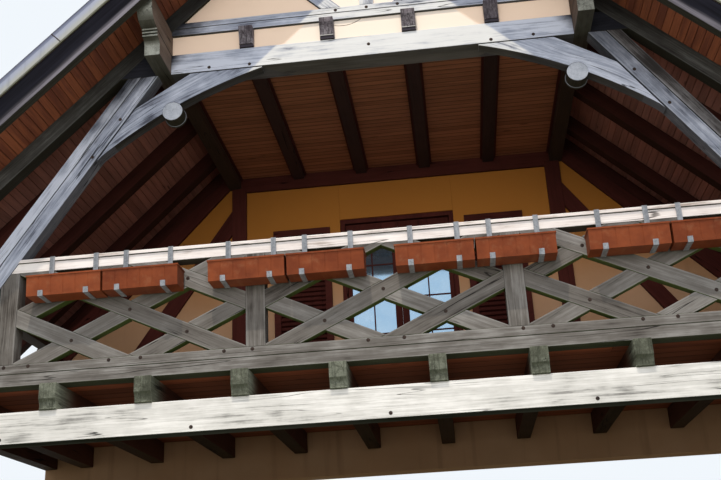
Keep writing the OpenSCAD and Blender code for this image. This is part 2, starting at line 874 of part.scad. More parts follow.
module back_braces()
    color(maroon) both_sides() {
        plate([
            rake_head, [rake_end, rake_head.y - rake_drop * (rake_end - purlin_out)],
            [rake_end, rafter_z(rake_end)], [purlin_out, rafter_z(purlin_out)]
        ], back_face - timber_relief, back_face);
        plate([
            [back_brace_foot - back_brace_half, floor_top], [back_brace_foot + back_brace_half, floor_top],
            [back_post_out, back_brace_z(back_brace_foot + back_brace_half)],
            [back_post_out, back_brace_z(back_brace_foot - back_brace_half)]
        ], back_face - timber_relief, back_face);
    }

// French door and shutters
door_top = joist_top + door_height;
leaf_top = door_top - door_frame_width;
frame_front = back_face + 15;
frame_deep = 120;
frame_sill = 45;
door_stop = 15;
leaf_front = frame_front + 40;
rail_width = 100;

module door_frame()
    color(maroon) difference() {
        block([-door_width / 2, frame_front, joist_top], [door_width / 2, frame_front + frame_deep, door_top]);
        block([-door_width / 2 + door_frame_width, frame_front - 10, joist_top + frame_sill],
            [door_width / 2 - door_frame_width, leaf_front + leaf_thick, leaf_top]);
        block([-door_width / 2 + door_frame_width + door_stop, frame_front, joist_top + frame_sill],
            [door_width / 2 - door_frame_width - door_stop, frame_front + frame_deep + 10, leaf_top - door_stop]);
    }

leaf_gap = 3;
leaf_foot = joist_top + frame_sill + leaf_gap;
leaf_out = door_width / 2 - door_frame_width - leaf_gap;
meeting_stile = 70;
panel_margin = 85;
panel_recess = 12;

module door_leaves()
    color(maroon) both_sides() difference() {
        block([leaf_gap / 2, leaf_front, leaf_foot], [leaf_out, leaf_front + leaf_thick, leaf_top - leaf_gap]);
        block([leaf_gap / 2 + meeting_stile, leaf_front - 1, leaf_foot + kick_height],
            [leaf_out - stile_width, leaf_front + leaf_thick + 1, leaf_top - leaf_gap - rail_width]);
        block([leaf_gap / 2 + meeting_stile, leaf_front - 1, leaf_foot + panel_margin],
            [leaf_out - stile_width, leaf_front + panel_recess, leaf_foot + kick_height - panel_margin]);
    }

glass_thick = 24;
glass_front = leaf_front + (leaf_thick - glass_thick) / 2;

module door_glass()
    color(pane) both_sides()
        block([leaf_gap / 2 + meeting_stile, glass_front, leaf_foot + kick_height],
            [leaf_out - stile_width, glass_front + glass_thick, leaf_top - leaf_gap - rail_width]);

// Louvred shutters folded back against the wall
shutter_in = 725;
shutter_foot = floor_top + 15;
shutter_top = joist_top + 2200;
shutter_frame = 70;
slat_pitch = 52;
slat_count = floor((shutter_top - shutter_foot - 2 * shutter_frame) / slat_pitch);
slat_tilt = 40;
slat_deep = 36;
slat_thick = 8;
slat_tenon = 5;
hinge_reach = 12;
hinge_inset = 250;
hinge_half = 20;
hinge_length = 60;
hinge_places = [shutter_foot + hinge_inset, (shutter_foot + shutter_top) / 2, shutter_top - hinge_inset];

module door_shutters()
    color(maroon) both_sides() {
        difference() {
            block([shutter_in, back_face - shutter_thick - hinge_reach, shutter_foot],
                [shutter_in + shutter_width, back_face - hinge_reach, shutter_top]);
            block([shutter_in + shutter_frame, back_face - 200, shutter_foot + shutter_frame],
                [shutter_in + shutter_width - shutter_frame, back_face, shutter_top - shutter_frame]);
        }
        for (z = hinge_places)
            block([shutter_in, back_face - hinge_reach, z - hinge_half],
                [shutter_in + hinge_length, back_face, z + hinge_half]);
        for (k = [0:slat_count - 1])
            translate([shutter_in + shutter_frame - slat_tenon,
                front_y + back_face - hinge_reach - shutter_thick / 2,
                shutter_foot + shutter_frame + slat_pitch * (k + 0.5)])
                rotate([slat_tilt, 0, 0]) translate([0, -slat_deep / 2, -slat_thick / 2])
                    cube([shutter_width - 2 * shutter_frame + 2 * slat_tenon, slat_deep, slat_thick]);
    }

lower_beam();
floor_joists();
floor_boards();
sill_plate();
balcony_posts();
lattice_left();
lattice_middle();
lattice_right();
handrail();
handrail_cap();
flower_boxes();
box_hangers();
inner_struts();
outer_struts();
curved_braces();
log_ends();
collar_beam();
attic_joists();
joist_infill();
ceiling_boards();
purlin_bolsters();
roof_purlins();
upper_sill_beam();
king_post();
gable_braces();
gable_plaster();
rafters_left();
rafters_right();
knee_posts();
side_parapets();
roof_boards_left();
roof_boards_right();
roof_covering_left();
roof_covering_right();
ridge_cap();
verge_strips();
back_wall_base();
back_wall_left();
back_wall_right();
back_wall_over_door();
back_posts();
back_beam();
back_braces();
door_frame();
door_leaves();
door_glass();
door_shutters();
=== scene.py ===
# %% [markdown]
# This lesson dresses the timber gable storey of an alpine chalet: a balcony with a crossed-bar parapet
# under a steep, far-reaching roof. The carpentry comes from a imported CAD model, which stays where it is.
# Blender adds what makes it look built and old: eased edges, single boards and tiles, bolts, and the
# grey, silky skin that softwood grows after decades of sun and rain.

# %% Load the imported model
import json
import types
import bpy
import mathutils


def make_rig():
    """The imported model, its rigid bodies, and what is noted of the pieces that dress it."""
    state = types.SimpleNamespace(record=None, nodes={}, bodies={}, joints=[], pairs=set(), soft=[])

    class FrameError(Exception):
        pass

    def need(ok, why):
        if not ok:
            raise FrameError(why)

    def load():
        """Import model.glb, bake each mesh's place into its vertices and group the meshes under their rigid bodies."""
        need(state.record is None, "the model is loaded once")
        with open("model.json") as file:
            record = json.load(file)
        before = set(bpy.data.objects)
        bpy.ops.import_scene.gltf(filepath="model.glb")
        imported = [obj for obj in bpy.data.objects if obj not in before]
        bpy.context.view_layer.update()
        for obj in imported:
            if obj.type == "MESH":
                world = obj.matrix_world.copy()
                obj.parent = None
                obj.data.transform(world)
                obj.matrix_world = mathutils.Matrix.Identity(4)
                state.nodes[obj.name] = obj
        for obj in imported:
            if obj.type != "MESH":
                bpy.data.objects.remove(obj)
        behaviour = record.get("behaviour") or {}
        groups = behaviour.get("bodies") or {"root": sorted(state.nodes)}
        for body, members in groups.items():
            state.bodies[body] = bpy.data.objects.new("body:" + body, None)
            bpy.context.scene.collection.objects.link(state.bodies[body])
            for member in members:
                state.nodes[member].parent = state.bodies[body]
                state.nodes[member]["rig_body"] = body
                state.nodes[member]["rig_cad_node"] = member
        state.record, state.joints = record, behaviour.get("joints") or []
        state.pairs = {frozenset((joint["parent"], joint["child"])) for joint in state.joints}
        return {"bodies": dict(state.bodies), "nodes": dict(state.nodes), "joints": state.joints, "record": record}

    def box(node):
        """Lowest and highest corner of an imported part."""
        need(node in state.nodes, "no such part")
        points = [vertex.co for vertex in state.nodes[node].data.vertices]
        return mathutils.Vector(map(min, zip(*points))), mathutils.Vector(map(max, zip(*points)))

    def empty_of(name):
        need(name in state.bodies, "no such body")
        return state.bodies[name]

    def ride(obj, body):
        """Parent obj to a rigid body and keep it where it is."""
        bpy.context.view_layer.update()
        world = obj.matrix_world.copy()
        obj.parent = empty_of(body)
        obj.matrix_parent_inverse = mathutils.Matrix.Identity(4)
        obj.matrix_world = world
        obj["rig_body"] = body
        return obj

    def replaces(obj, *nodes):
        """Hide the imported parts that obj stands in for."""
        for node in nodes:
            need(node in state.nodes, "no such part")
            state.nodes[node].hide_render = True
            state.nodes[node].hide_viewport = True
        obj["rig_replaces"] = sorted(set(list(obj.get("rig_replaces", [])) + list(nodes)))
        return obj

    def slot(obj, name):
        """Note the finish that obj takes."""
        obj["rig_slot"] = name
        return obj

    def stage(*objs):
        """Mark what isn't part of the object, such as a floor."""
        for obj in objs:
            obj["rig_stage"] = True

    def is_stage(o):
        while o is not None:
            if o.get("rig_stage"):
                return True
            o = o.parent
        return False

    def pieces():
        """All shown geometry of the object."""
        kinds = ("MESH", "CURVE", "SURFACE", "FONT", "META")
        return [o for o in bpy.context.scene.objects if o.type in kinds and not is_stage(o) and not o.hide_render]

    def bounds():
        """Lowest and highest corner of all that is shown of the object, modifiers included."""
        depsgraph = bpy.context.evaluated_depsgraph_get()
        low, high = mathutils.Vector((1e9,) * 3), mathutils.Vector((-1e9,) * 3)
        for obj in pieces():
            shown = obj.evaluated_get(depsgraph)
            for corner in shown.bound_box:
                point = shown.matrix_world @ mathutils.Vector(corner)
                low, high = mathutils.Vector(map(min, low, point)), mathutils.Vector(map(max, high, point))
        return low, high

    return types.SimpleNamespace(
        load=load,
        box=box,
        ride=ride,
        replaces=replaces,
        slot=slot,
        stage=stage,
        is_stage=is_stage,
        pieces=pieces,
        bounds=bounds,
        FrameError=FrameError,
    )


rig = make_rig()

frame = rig.load()

# %% Modules and the model's own box
import json
import math
import random

import bmesh
import bpy
from mathutils import Matrix, Vector

cad_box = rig.bounds()
print("nodes:", len(frame["nodes"]), "box:", [[round(v, 3) for v in corner] for corner in cad_box])

# %% [markdown]
# A few levels and planes are used again and again, so they get names here. They are read from the boxes
# of the CAD pieces, and everything that is added later sits on them. The house looks along -Y.

# %% Planes of the building
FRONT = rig.box("sill_plate")[0].y
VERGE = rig.box("roof_boards_right")[0].y
COVER_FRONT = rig.box("roof_covering_right")[0].y
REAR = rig.box("roof_boards_right")[1].y
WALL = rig.box("back_beam")[1].y
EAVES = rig.box("roof_boards_right")[1].x
PITCH = math.radians(43.6)
BOARD = 0.024
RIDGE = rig.box("roof_boards_right")[1].z - BOARD / math.cos(PITCH)
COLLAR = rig.box("collar_beam")[0].z
SILL_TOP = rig.box("sill_plate")[1].z
print(f"front {FRONT:.3f}, wall {WALL:.3f}, ridge {RIDGE:.3f}, collar {COLLAR:.3f}")

# %% [markdown]
# The photographer stood below the balcony and looked steeply up, with the camera a little askew. The
# camera repeats that: a 48.5 mm lens on a 36 mm wide sensor, turned 5 degrees to the left, tilted up
# 21.5 degrees and rolled 3 degrees. Its axes are built by hand, because the roll comes last.

# %% Camera
LENS = 48.53
CAMERA_PLACE = Vector((0.4806, -8.1335, -1.3717))
YAW, CAMERA_TILT, ROLL = -0.0904, 0.3753, -0.0522


def aim(place, forward, roll=0.0):
    """The matrix of a camera or lamp that looks along forward."""
    forward = forward.normalized()
    right = forward.cross(Vector((0, 0, 1))).normalized()
    up = right.cross(forward)
    side = right * math.cos(roll) + up * math.sin(roll)
    top = up * math.cos(roll) - right * math.sin(roll)
    return Matrix.Translation(place) @ Matrix((side, top, -forward)).transposed().to_4x4()


camera = bpy.data.objects.new("camera", bpy.data.cameras.new("camera"))
camera.data.lens = LENS
bpy.context.collection.objects.link(camera)
level = math.cos(CAMERA_TILT)
heading = Vector((math.sin(YAW) * level, math.cos(YAW) * level, math.sin(CAMERA_TILT)))
camera.matrix_world = aim(CAMERA_PLACE, heading, ROLL)
bpy.context.scene.camera = camera
print("camera looks along", [round(v, 3) for v in heading])

# %% [markdown]
# Shader maths is easier to read as formulas than as boxes and wires. This class wraps one output socket.
# Plus, minus and the other signs add Math nodes, colours go through Mix nodes, and any other node comes
# from the one method node(), which sets its settings first and then fills or links its sockets.

# %% Shader maths
class Wire:
    """One output socket of a material."""

    def __init__(self, tree, socket=None):
        self.tree = tree
        self.socket = socket

    def node(self, kind, settings=None, sockets=None, out=0):
        """Adds a node and gives one of its outputs."""
        node = self.tree.nodes.new("ShaderNode" + kind)
        for name, value in (settings or {}).items():
            setattr(node, name, value)
        for name, value in (sockets or {}).items():
            if isinstance(value, Wire):
                self.tree.links.new(value.socket, node.inputs[name])
            else:
                node.inputs[name].default_value = value
        return Wire(self.tree, node.outputs[out])

    def other(self, out):
        """Another output of the same node."""
        return Wire(self.tree, self.socket.node.outputs[out])

    def maths(self, operation, *values):
        return self.node("Math", {"operation": operation}, dict(enumerate(values)))

    def __add__(self, other):
        return self.maths("ADD", self, other)

    def __sub__(self, other):
        return self.maths("SUBTRACT", self, other)

    def __rsub__(self, other):
        return self.maths("SUBTRACT", other, self)

    def __mul__(self, other):
        return self.maths("MULTIPLY", self, other)

    def __truediv__(self, other):
        return self.maths("DIVIDE", self, other)

    def __rtruediv__(self, other):
        return self.maths("DIVIDE", other, self)

    def __abs__(self):
        return self.maths("ABSOLUTE", self)

    __radd__ = __add__
    __rmul__ = __mul__

    def step(self, low, high):
        """0 at low and 1 at high, eased between. Low may lie above high."""
        sockets = {"Value": self, "From Min": low, "From Max": high}
        return self.node("MapRange", {"interpolation_type": "SMOOTHSTEP"}, sockets)

    def mix(self, first, second):
        """This value as the factor between two colours."""
        return self.node("Mix", {"data_type": "RGBA"}, {0: self, 6: first, 7: second}, 2)

    def scaled(self, by):
        return self.node("VectorMath", {"operation": "MULTIPLY"}, {0: self, 1: by})

    def moved(self, by):
        return self.node("VectorMath", {"operation": "ADD"}, {0: self, 1: by})

    def surface(self, out="Position"):
        """What the geometry says of the surface: its place in metres, or another output by name."""
        return self.node("NewGeometry", {}, {}, out)

    def split(self, out):
        """One component of this vector; other() gives the rest."""
        return self.node("SeparateXYZ", {}, {0: self}, out)

    def noise(self, scale, detail=2.0, roughness=0.5):
        """Cloudy noise at this vector, about 0.5 on average."""
        sockets = {"Vector": self, "Scale": scale, "Detail": detail, "Roughness": roughness}
        return self.node("TexNoise", {}, sockets)

    def streaks(self, along, across, detail=3, roughness=0.5):
        """Noise drawn out along the grain: how often it changes in a metre along it and across it."""
        return self.scaled((along, across, across)).noise(1, detail, roughness)

    def bump(self, strength, distance):
        """This value as a relief, whose height is the distance in metres."""
        return self.node("Bump", {}, {"Height": self, "Strength": strength, "Distance": distance})


def srgb(red, green, blue):
    """A screen colour from 0 to 255 as the linear colour that shaders use."""
    values = [value / 255 for value in (red, green, blue)]
    return tuple(v / 12.92 if v <= 0.04045 else ((v + 0.055) / 1.055) ** 2.4 for v in values) + (1.0,)


finishes = {}


def new_finish(name, **constants):
    """Makes a material and gives its Principled shader and a loose wire to start formulas from. What is the
    same all over the surface is set on the shader's own sockets, named with _ for a space."""
    finishes[name] = bpy.data.materials.new(name)
    finishes[name].use_nodes = True
    tree = finishes[name].node_tree
    shader = tree.nodes["Principled BSDF"]
    for socket, value in constants.items():
        shader.inputs[socket.replace("_", " ")].default_value = value
    print("finish:", name)
    return shader, Wire(tree)


def distance(across, up):
    """The length of an arm with these two parts."""
    squares = across * across + up * up
    return squares.maths("SQRT", squares)


def feed(shader, **wires):
    """Links formulas to the shader's sockets, named with _ for a space."""
    for name, wire in wires.items():
        wire.tree.links.new(wire.socket, shader.inputs[name.replace("_", " ")])


print("mid grey in linear light:", [round(v, 3) for v in srgb(128, 128, 128)])

# %% [markdown]
# Light: a warm lamp stands where the sun stood, high in front of the gable, so the verge throws its
# shadow as a broad upturned V and leaves the middle of the gable and the parapet bright. A large, low and
# nearly white lamp stands for the open view in front, which lights what the roof shades. A pale sky does the
# rest. Together they light a wall at about 1, so a colour renders as it is written. Camera rays see a
# paler sky than the surfaces do. Glossy and transmission rays see that pale sky too, for the glass.

# %% Lamps and sky
SKY_LIGHT = (0.84, 0.90, 1.0, 1.0)
SKY_STRENGTH = 0.68
SKY_SEEN = (0.88, 0.93, 0.98, 1.0)
SUN_SIDE = Vector((-0.132, -1.0, 1.57))
SUN_TARGET = Vector((0.0, -1.1, 2.6))
SUN_DISTANCE = 14.0
SUN_SIZE = 0.2
SUN_WATTS = 1520
SUN_COLOUR = (1.0, 0.90, 0.76)
VIEW_PLACE = Vector((0.0, -13.0, 3.3))
VIEW_SIZE = 6.0
VIEW_WATTS = 680
VIEW_COLOUR = (0.96, 0.92, 0.92)


def soft_lamp(name, place, target, size, watts, colour):
    """A square area lamp aimed at a point. Glass and gloss mirror the sky, not the lamp."""
    lamp = bpy.data.lights.new(name, "AREA")
    lamp.size = size
    lamp.energy = watts
    lamp.color = colour
    holder = bpy.data.objects.new(name, lamp)
    bpy.context.collection.objects.link(holder)
    holder.visible_glossy = False
    holder.matrix_world = aim(place, target - place)


def seen_by_eye(wire):
    """1 for rays that reach the camera straight, off a gloss or through glass."""
    camera_ray = wire.node("LightPath", {}, {}, "Is Camera Ray")
    glossy_ray = camera_ray.other("Is Glossy Ray")
    through_ray = camera_ray.other("Is Transmission Ray")
    return camera_ray.maths("MAXIMUM", camera_ray.maths("MAXIMUM", camera_ray, glossy_ray), through_ray)


sun_place = SUN_TARGET + SUN_SIDE.normalized() * SUN_DISTANCE
soft_lamp("key_lamp", sun_place, SUN_TARGET, SUN_SIZE, SUN_WATTS, SUN_COLOUR)
soft_lamp("view_lamp", VIEW_PLACE, SUN_TARGET, VIEW_SIZE, VIEW_WATTS, VIEW_COLOUR)

world = bpy.data.worlds.new("pale_sky")
bpy.context.scene.world = world
world.use_nodes = True
sky = Wire(world.node_tree)
shown = seen_by_eye(sky)
background = world.node_tree.nodes["Background"]
feed(background, Color=shown.mix(SKY_LIGHT, SKY_SEEN), Strength=SKY_STRENGTH + shown * (1 - SKY_STRENGTH))
bpy.context.scene.view_settings.view_transform = "Standard"
print("lamps:", [o.name for o in bpy.data.objects if o.type == "LIGHT"])

# %% [markdown]
# The storey rests on a pale floor. The photograph looks up from below that level, so the floor lets
# every ray pass that comes from underneath and is an ordinary pale surface from above, where it catches
# the shadow. It throws back less light than it shows, as the green ground below a balcony does, and it
# has a faint glow that only surfaces see: the storeys below are missing here, and with them the daylight
# that reaches the underside of the balcony in the photograph.

# %% Floor
FLOOR_SEEN = (0.84, 0.85, 0.85, 1.0)
FLOOR_BOUNCE = (0.26, 0.26, 0.20, 1.0)
FLOOR_GLOW = (0.12, 0.12, 0.10, 1.0)
FLOOR_RADIUS = 60.0
BLACK = (0.0, 0.0, 0.0, 1.0)

# A wide disc that only what lies above it sees.
shape = bmesh.new()
bmesh.ops.create_circle(shape, cap_ends=True, segments=96, radius=FLOOR_RADIUS)
mesh = bpy.data.meshes.new("studio_floor")
shape.to_mesh(mesh)
shape.free()
floor = bpy.data.objects.new("studio_floor", mesh)
bpy.context.collection.objects.link(floor)
shader, wire = new_finish("floor_paint", Roughness=0.9, Emission_Strength=1.0)
shown = seen_by_eye(wire)
feed(shader, Base_Color=shown.mix(FLOOR_BOUNCE, FLOOR_SEEN), Emission_Color=shown.mix(FLOOR_GLOW, BLACK))
open_air = wire.node("BsdfTransparent")
from_below = wire.surface("Backfacing")
both = wire.node("MixShader", {}, {0: from_below, 1: Wire(wire.tree, shader.outputs[0]), 2: open_air})
wire.tree.links.new(both.socket, wire.tree.nodes["Material Output"].inputs["Surface"])
mesh.materials.append(finishes["floor_paint"])
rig.stage(floor)
print("floor faces up:", floor.data.polygons[0].normal.z > 0)

# %% [markdown]
# A timber is a solid with a direction: its grain. Before it is drawn its sharp edges are eased, because
# a plane leaves no knife edges. Then each point remembers where it lies in the timber, in metres along,
# across and through it, and how large the timber is. The shader draws rings, streaks and worn arrises
# from these attributes, so the pattern runs through corners and stays at its real scale.

# %% Solids from the CAD model
WELD = 1e-5
FLAT_ANGLE = math.radians(0.5)
SHARP_ANGLE = math.radians(20)
SMOOTH_ANGLE = math.radians(14)
Y_AXIS = Vector((0, 1, 0))
X_AXIS = Vector((1, 0, 0))
Z_AXIS = Vector((0, 0, 1))


def cad_solids(node):
    """The solids of a CAD node as (points, faces), with flat faces whole."""
    whole = bmesh.new()
    whole.from_mesh(frame["nodes"][node].data)
    bmesh.ops.remove_doubles(whole, verts=whole.verts, dist=WELD)
    bmesh.ops.dissolve_limit(whole, angle_limit=FLAT_ANGLE, verts=whole.verts, edges=whole.edges)
    solids = []
    seen = set()
    for start in whole.verts:
        if start in seen:
            continue
        group = [start]
        seen.add(start)
        for vert in group:
            for edge in vert.link_edges:
                far = edge.other_vert(vert)
                if far not in seen:
                    seen.add(far)
                    group.append(far)
        number = {vert: k for k, vert in enumerate(group)}
        faces = {face for vert in group for face in vert.link_faces}
        faces = sorted(faces, key=lambda face: face.index)
        points = [vert.co.copy() for vert in group]
        solids.append((points, [[number[vert] for vert in face.verts] for face in faces]))
    whole.free()
    return solids


def reach_of(points):
    """The low and high corners of the box round some points."""
    return [Vector([pick(point[k] for point in points) for k in range(3)]) for pick in (min, max)]


def lids_and_sides(count):
    """The faces of a solid between two rings of points: both lids, then the sides."""
    faces = [list(range(count)), list(range(2 * count - 1, count - 1, -1))]
    return faces + [[k, (k + 1) % count, (k + 1) % count + count, k + count] for k in range(count)]


def prism(outline, y0, y1):
    """A closed outline of (x, z) points between two depths."""
    return [Vector((x, y, z)) for y in (y0, y1) for x, z in outline], lids_and_sides(len(outline))


def block(low, high):
    """A squared solid between two corners."""
    outline = [(low[0], low[2]), (high[0], low[2]), (high[0], high[2]), (low[0], high[2])]
    return prism(outline, low[1], high[1])


print("solids in floor_joists:", len(cad_solids("floor_joists")))

# %% A piece of joinery
def shrink_solid(shape, along, by):
    """Draws the sides of a straight timber in, across its grain."""
    side = along.cross(X_AXIS if abs(along.y) > 0.9 else Y_AXIS).normalized()
    spots = [vert.co.dot(side) for vert in shape.verts]
    middle = (min(spots) + max(spots)) / 2
    for vert, spot in zip(shape.verts, spots):
        vert.co -= side * by * (1 if spot > middle else -1)


class Joinery:
    """One piece under construction: solids with grain, joined in one mesh. The name seeds its random
    numbers, so they are the same in each run."""

    def __init__(self, name):
        self.random = random.Random(sum(ord(letter) * (k + 7) for k, letter in enumerate(name)))
        self.points = []
        self.faces = []
        self.grain = []
        self.half = []
        self.tone = []
        self.end = []
        self.part = []

    def add(self, solid, along=None, ease=0.004, bend=None, part=0, tone=None, shrink=0.0):
        """Adds a solid. bend(point) gives the grain place where the timber is curved, and shrink is what
        the timber lost on each side as it dried, so that its joints stand open."""
        shape = bmesh.new()
        corners = [shape.verts.new(point) for point in solid[0]]
        for face in solid[1]:
            shape.faces.new([corners[k] for k in face])
        bmesh.ops.recalc_face_normals(shape, faces=shape.faces)
        if along is None:
            longest = max(shape.edges, key=lambda edge: edge.calc_length())
            along = (longest.verts[1].co - longest.verts[0].co).normalized()
        if shrink:
            shrink_solid(shape, along, shrink)
        if ease:
            sharp = [edge for edge in shape.edges
                     if edge.is_manifold and edge.calc_face_angle() > SHARP_ANGLE]
            bmesh.ops.bevel(shape, geom=sharp, offset=ease, offset_type="OFFSET", segments=2, profile=0.5,
                            affect="EDGES", clamp_overlap=True)
        through = X_AXIS if abs(along.y) > 0.9 else Y_AXIS
        across = along.cross(through).normalized()
        through = across.cross(along)
        axes = (along, across, through)
        places = [Vector([vert.co.dot(axis) for axis in axes]) for vert in shape.verts]
        low, high = reach_of(places)
        middle = (low + high) / 2
        half = (high - low) / 2
        if tone is None:
            tone = self.random.random()
        first = len(self.points)
        shape.verts.index_update()
        for vert, place in zip(shape.verts, places):
            self.points.append(vert.co.copy())
            self.grain.append(bend(vert.co) if bend else place - middle)
            self.half.append(half)
            self.tone.append(tone)
        for face in shape.faces:
            self.faces.append([first + vert.index for vert in face.verts])
            self.end.append(1.0 if abs(face.normal.dot(along)) > 0.6 else 0.0)
            self.part.append(part)
        shape.free()

    def place(self, name, slot, materials, nodes=()):
        """Makes the mesh object with finishes by name, puts it on the body and hides the CAD nodes it
        stands for."""
        mesh = bpy.data.meshes.new(name)
        mesh.from_pydata(self.points, [], self.faces)
        for key, values in (("grain", self.grain), ("half", self.half)):
            flat = [number for value in values for number in value]
            mesh.attributes.new(key, "FLOAT_VECTOR", "POINT").data.foreach_set("vector", flat)
        mesh.attributes.new("tone", "FLOAT", "POINT").data.foreach_set("value", self.tone)
        mesh.attributes.new("end", "FLOAT", "FACE").data.foreach_set("value", self.end)
        for material in materials:
            mesh.materials.append(finishes[material])
        mesh.polygons.foreach_set("material_index", self.part)
        mesh.polygons.foreach_set("use_smooth", [True] * len(self.faces))
        mesh.set_sharp_from_angle(angle=SMOOTH_ANGLE)
        mesh.update()
        piece = bpy.data.objects.new(name, mesh)
        bpy.context.collection.objects.link(piece)
        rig.ride(piece, "root")
        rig.slot(piece, slot)
        if nodes:
            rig.replaces(piece, *nodes)
        print(name, "faces:", len(self.faces))


def timbers(name, slot, material, ease, along):
    """Dresses the solids of a CAD node as they are: eased edges and grain."""
    work = Joinery(name)
    for solid in cad_solids(name):
        work.add(solid, along=along, ease=ease)
    work.place(name + "_wood", slot, [material], [name])


print("first random number of the sill:", round(Joinery("sill_plate").random.random(), 3))

# %% [markdown]
# Weathered softwood. Rain and sun take the brown out of spruce and leave a silver skin with long dark
# streaks, hair cracks along the grain and pale, rounded arrises. Undersides turn green with algae and are
# painted darker as shade, and wood that the roof keeps dry stays brown. All of it is noise stretched along the
# grain attribute, so no picture is needed, and each timber's tone shifts the noise to another place.

# %% Wires of the grain
def grain_wires(wire):
    """The timber attributes: place in the grain, half size, tone and end grain. The last wire is the place
    moved to a part of the noise that is this timber's own."""
    wires = []
    for name, out in (("grain", "Vector"), ("half", "Vector"), ("tone", "Fac"), ("end", "Fac")):
        wires.append(wire.node("Attribute", {"attribute_type": "GEOMETRY", "attribute_name": name}, {}, out))
    place, _, tone, _ = wires
    offset = tone.node("CombineXYZ", {}, {"X": tone * 37.0, "Y": tone * 11.0, "Z": tone * 23.0})
    return *wires, place.moved(offset)


def to_arris(place, half):
    """Distance to the nearest long edge of the timber, in metres."""
    reach = place.node("VectorMath", {"operation": "ABSOLUTE"}, {0: place})
    room = half.node("VectorMath", {"operation": "SUBTRACT"}, {0: half, 1: reach}).split("Y")
    return room.maths("MAXIMUM", room, room.other("Z"))


def shade(colour, by):
    """A darker or lighter version of a colour."""
    return tuple(min(1.0, value * by) for value in colour[:3]) + (1.0,)


print("mid grey at half its light:", [round(v, 3) for v in shade(srgb(128, 128, 128), 0.5)])

# %% [markdown]
# Some finishes get painted shade close under the roof, by the distance to its boards. The middle of the
# gable is different: the lamp's sun reaches it past the verge, and a paler colour is painted there as
# painted sunlight. A formula finds that patch from the places of the lamp and the verge, so the painted
# sunlight and the lamp's shadow share one edge.

# %% Shade under the roof and the patch of sun
VERGE_FOOT = 0.195
PENUMBRA = 0.008


def under_roof(position):
    """Distance below the underside of the roof boards, square to the slope."""
    parts = position.split("X")
    return (RIDGE - parts.other("Z")) * math.cos(PITCH) - abs(parts) * math.sin(PITCH)


def sun_patch(position):
    """1 in the middle of the gable, which the midday sun reaches past the verge, and 0 beside it. The ray
    towards the lamp is followed to the plane of the verge board, and has to pass below its foot."""
    parts = position.split("Y")
    share = (parts - VERGE) / (parts - sun_place.y)
    lamp = share.node("CombineXYZ", {}, dict(zip("XYZ", sun_place)))
    at_verge = position.scaled(1 - share).moved(lamp.scaled(share))
    past_verge = (under_roof(at_verge) - VERGE_FOOT).step(-PENUMBRA, PENUMBRA)
    return past_verge * parts.other("Z").step(COLLAR - 0.2, COLLAR - 0.1)


print("the sun stands at", [round(v, 2) for v in sun_place])

# %% Timber finish
RING_RATE = 900
# Painted sunlight: the pale colour laid where the lamp's sun reaches.
PAINTED_SUNLIGHT = srgb(214, 215, 214)
HEM_SHADE = srgb(40, 38, 50)
FLANK_BROWN = srgb(104, 80, 66)


def ring_pattern(place, tone):
    """Year rings about a pith that lies off the timber's middle."""
    parts = place.split("Y")
    side = parts + (tone - 0.5) * 0.12
    up = parts.other("Z") - 0.03
    wave = (distance(side, up) + place.scaled((2, 9, 9)).noise(1, 2) * 0.02) * RING_RATE
    return wave.maths("SINE", wave) * 0.5 + 0.5


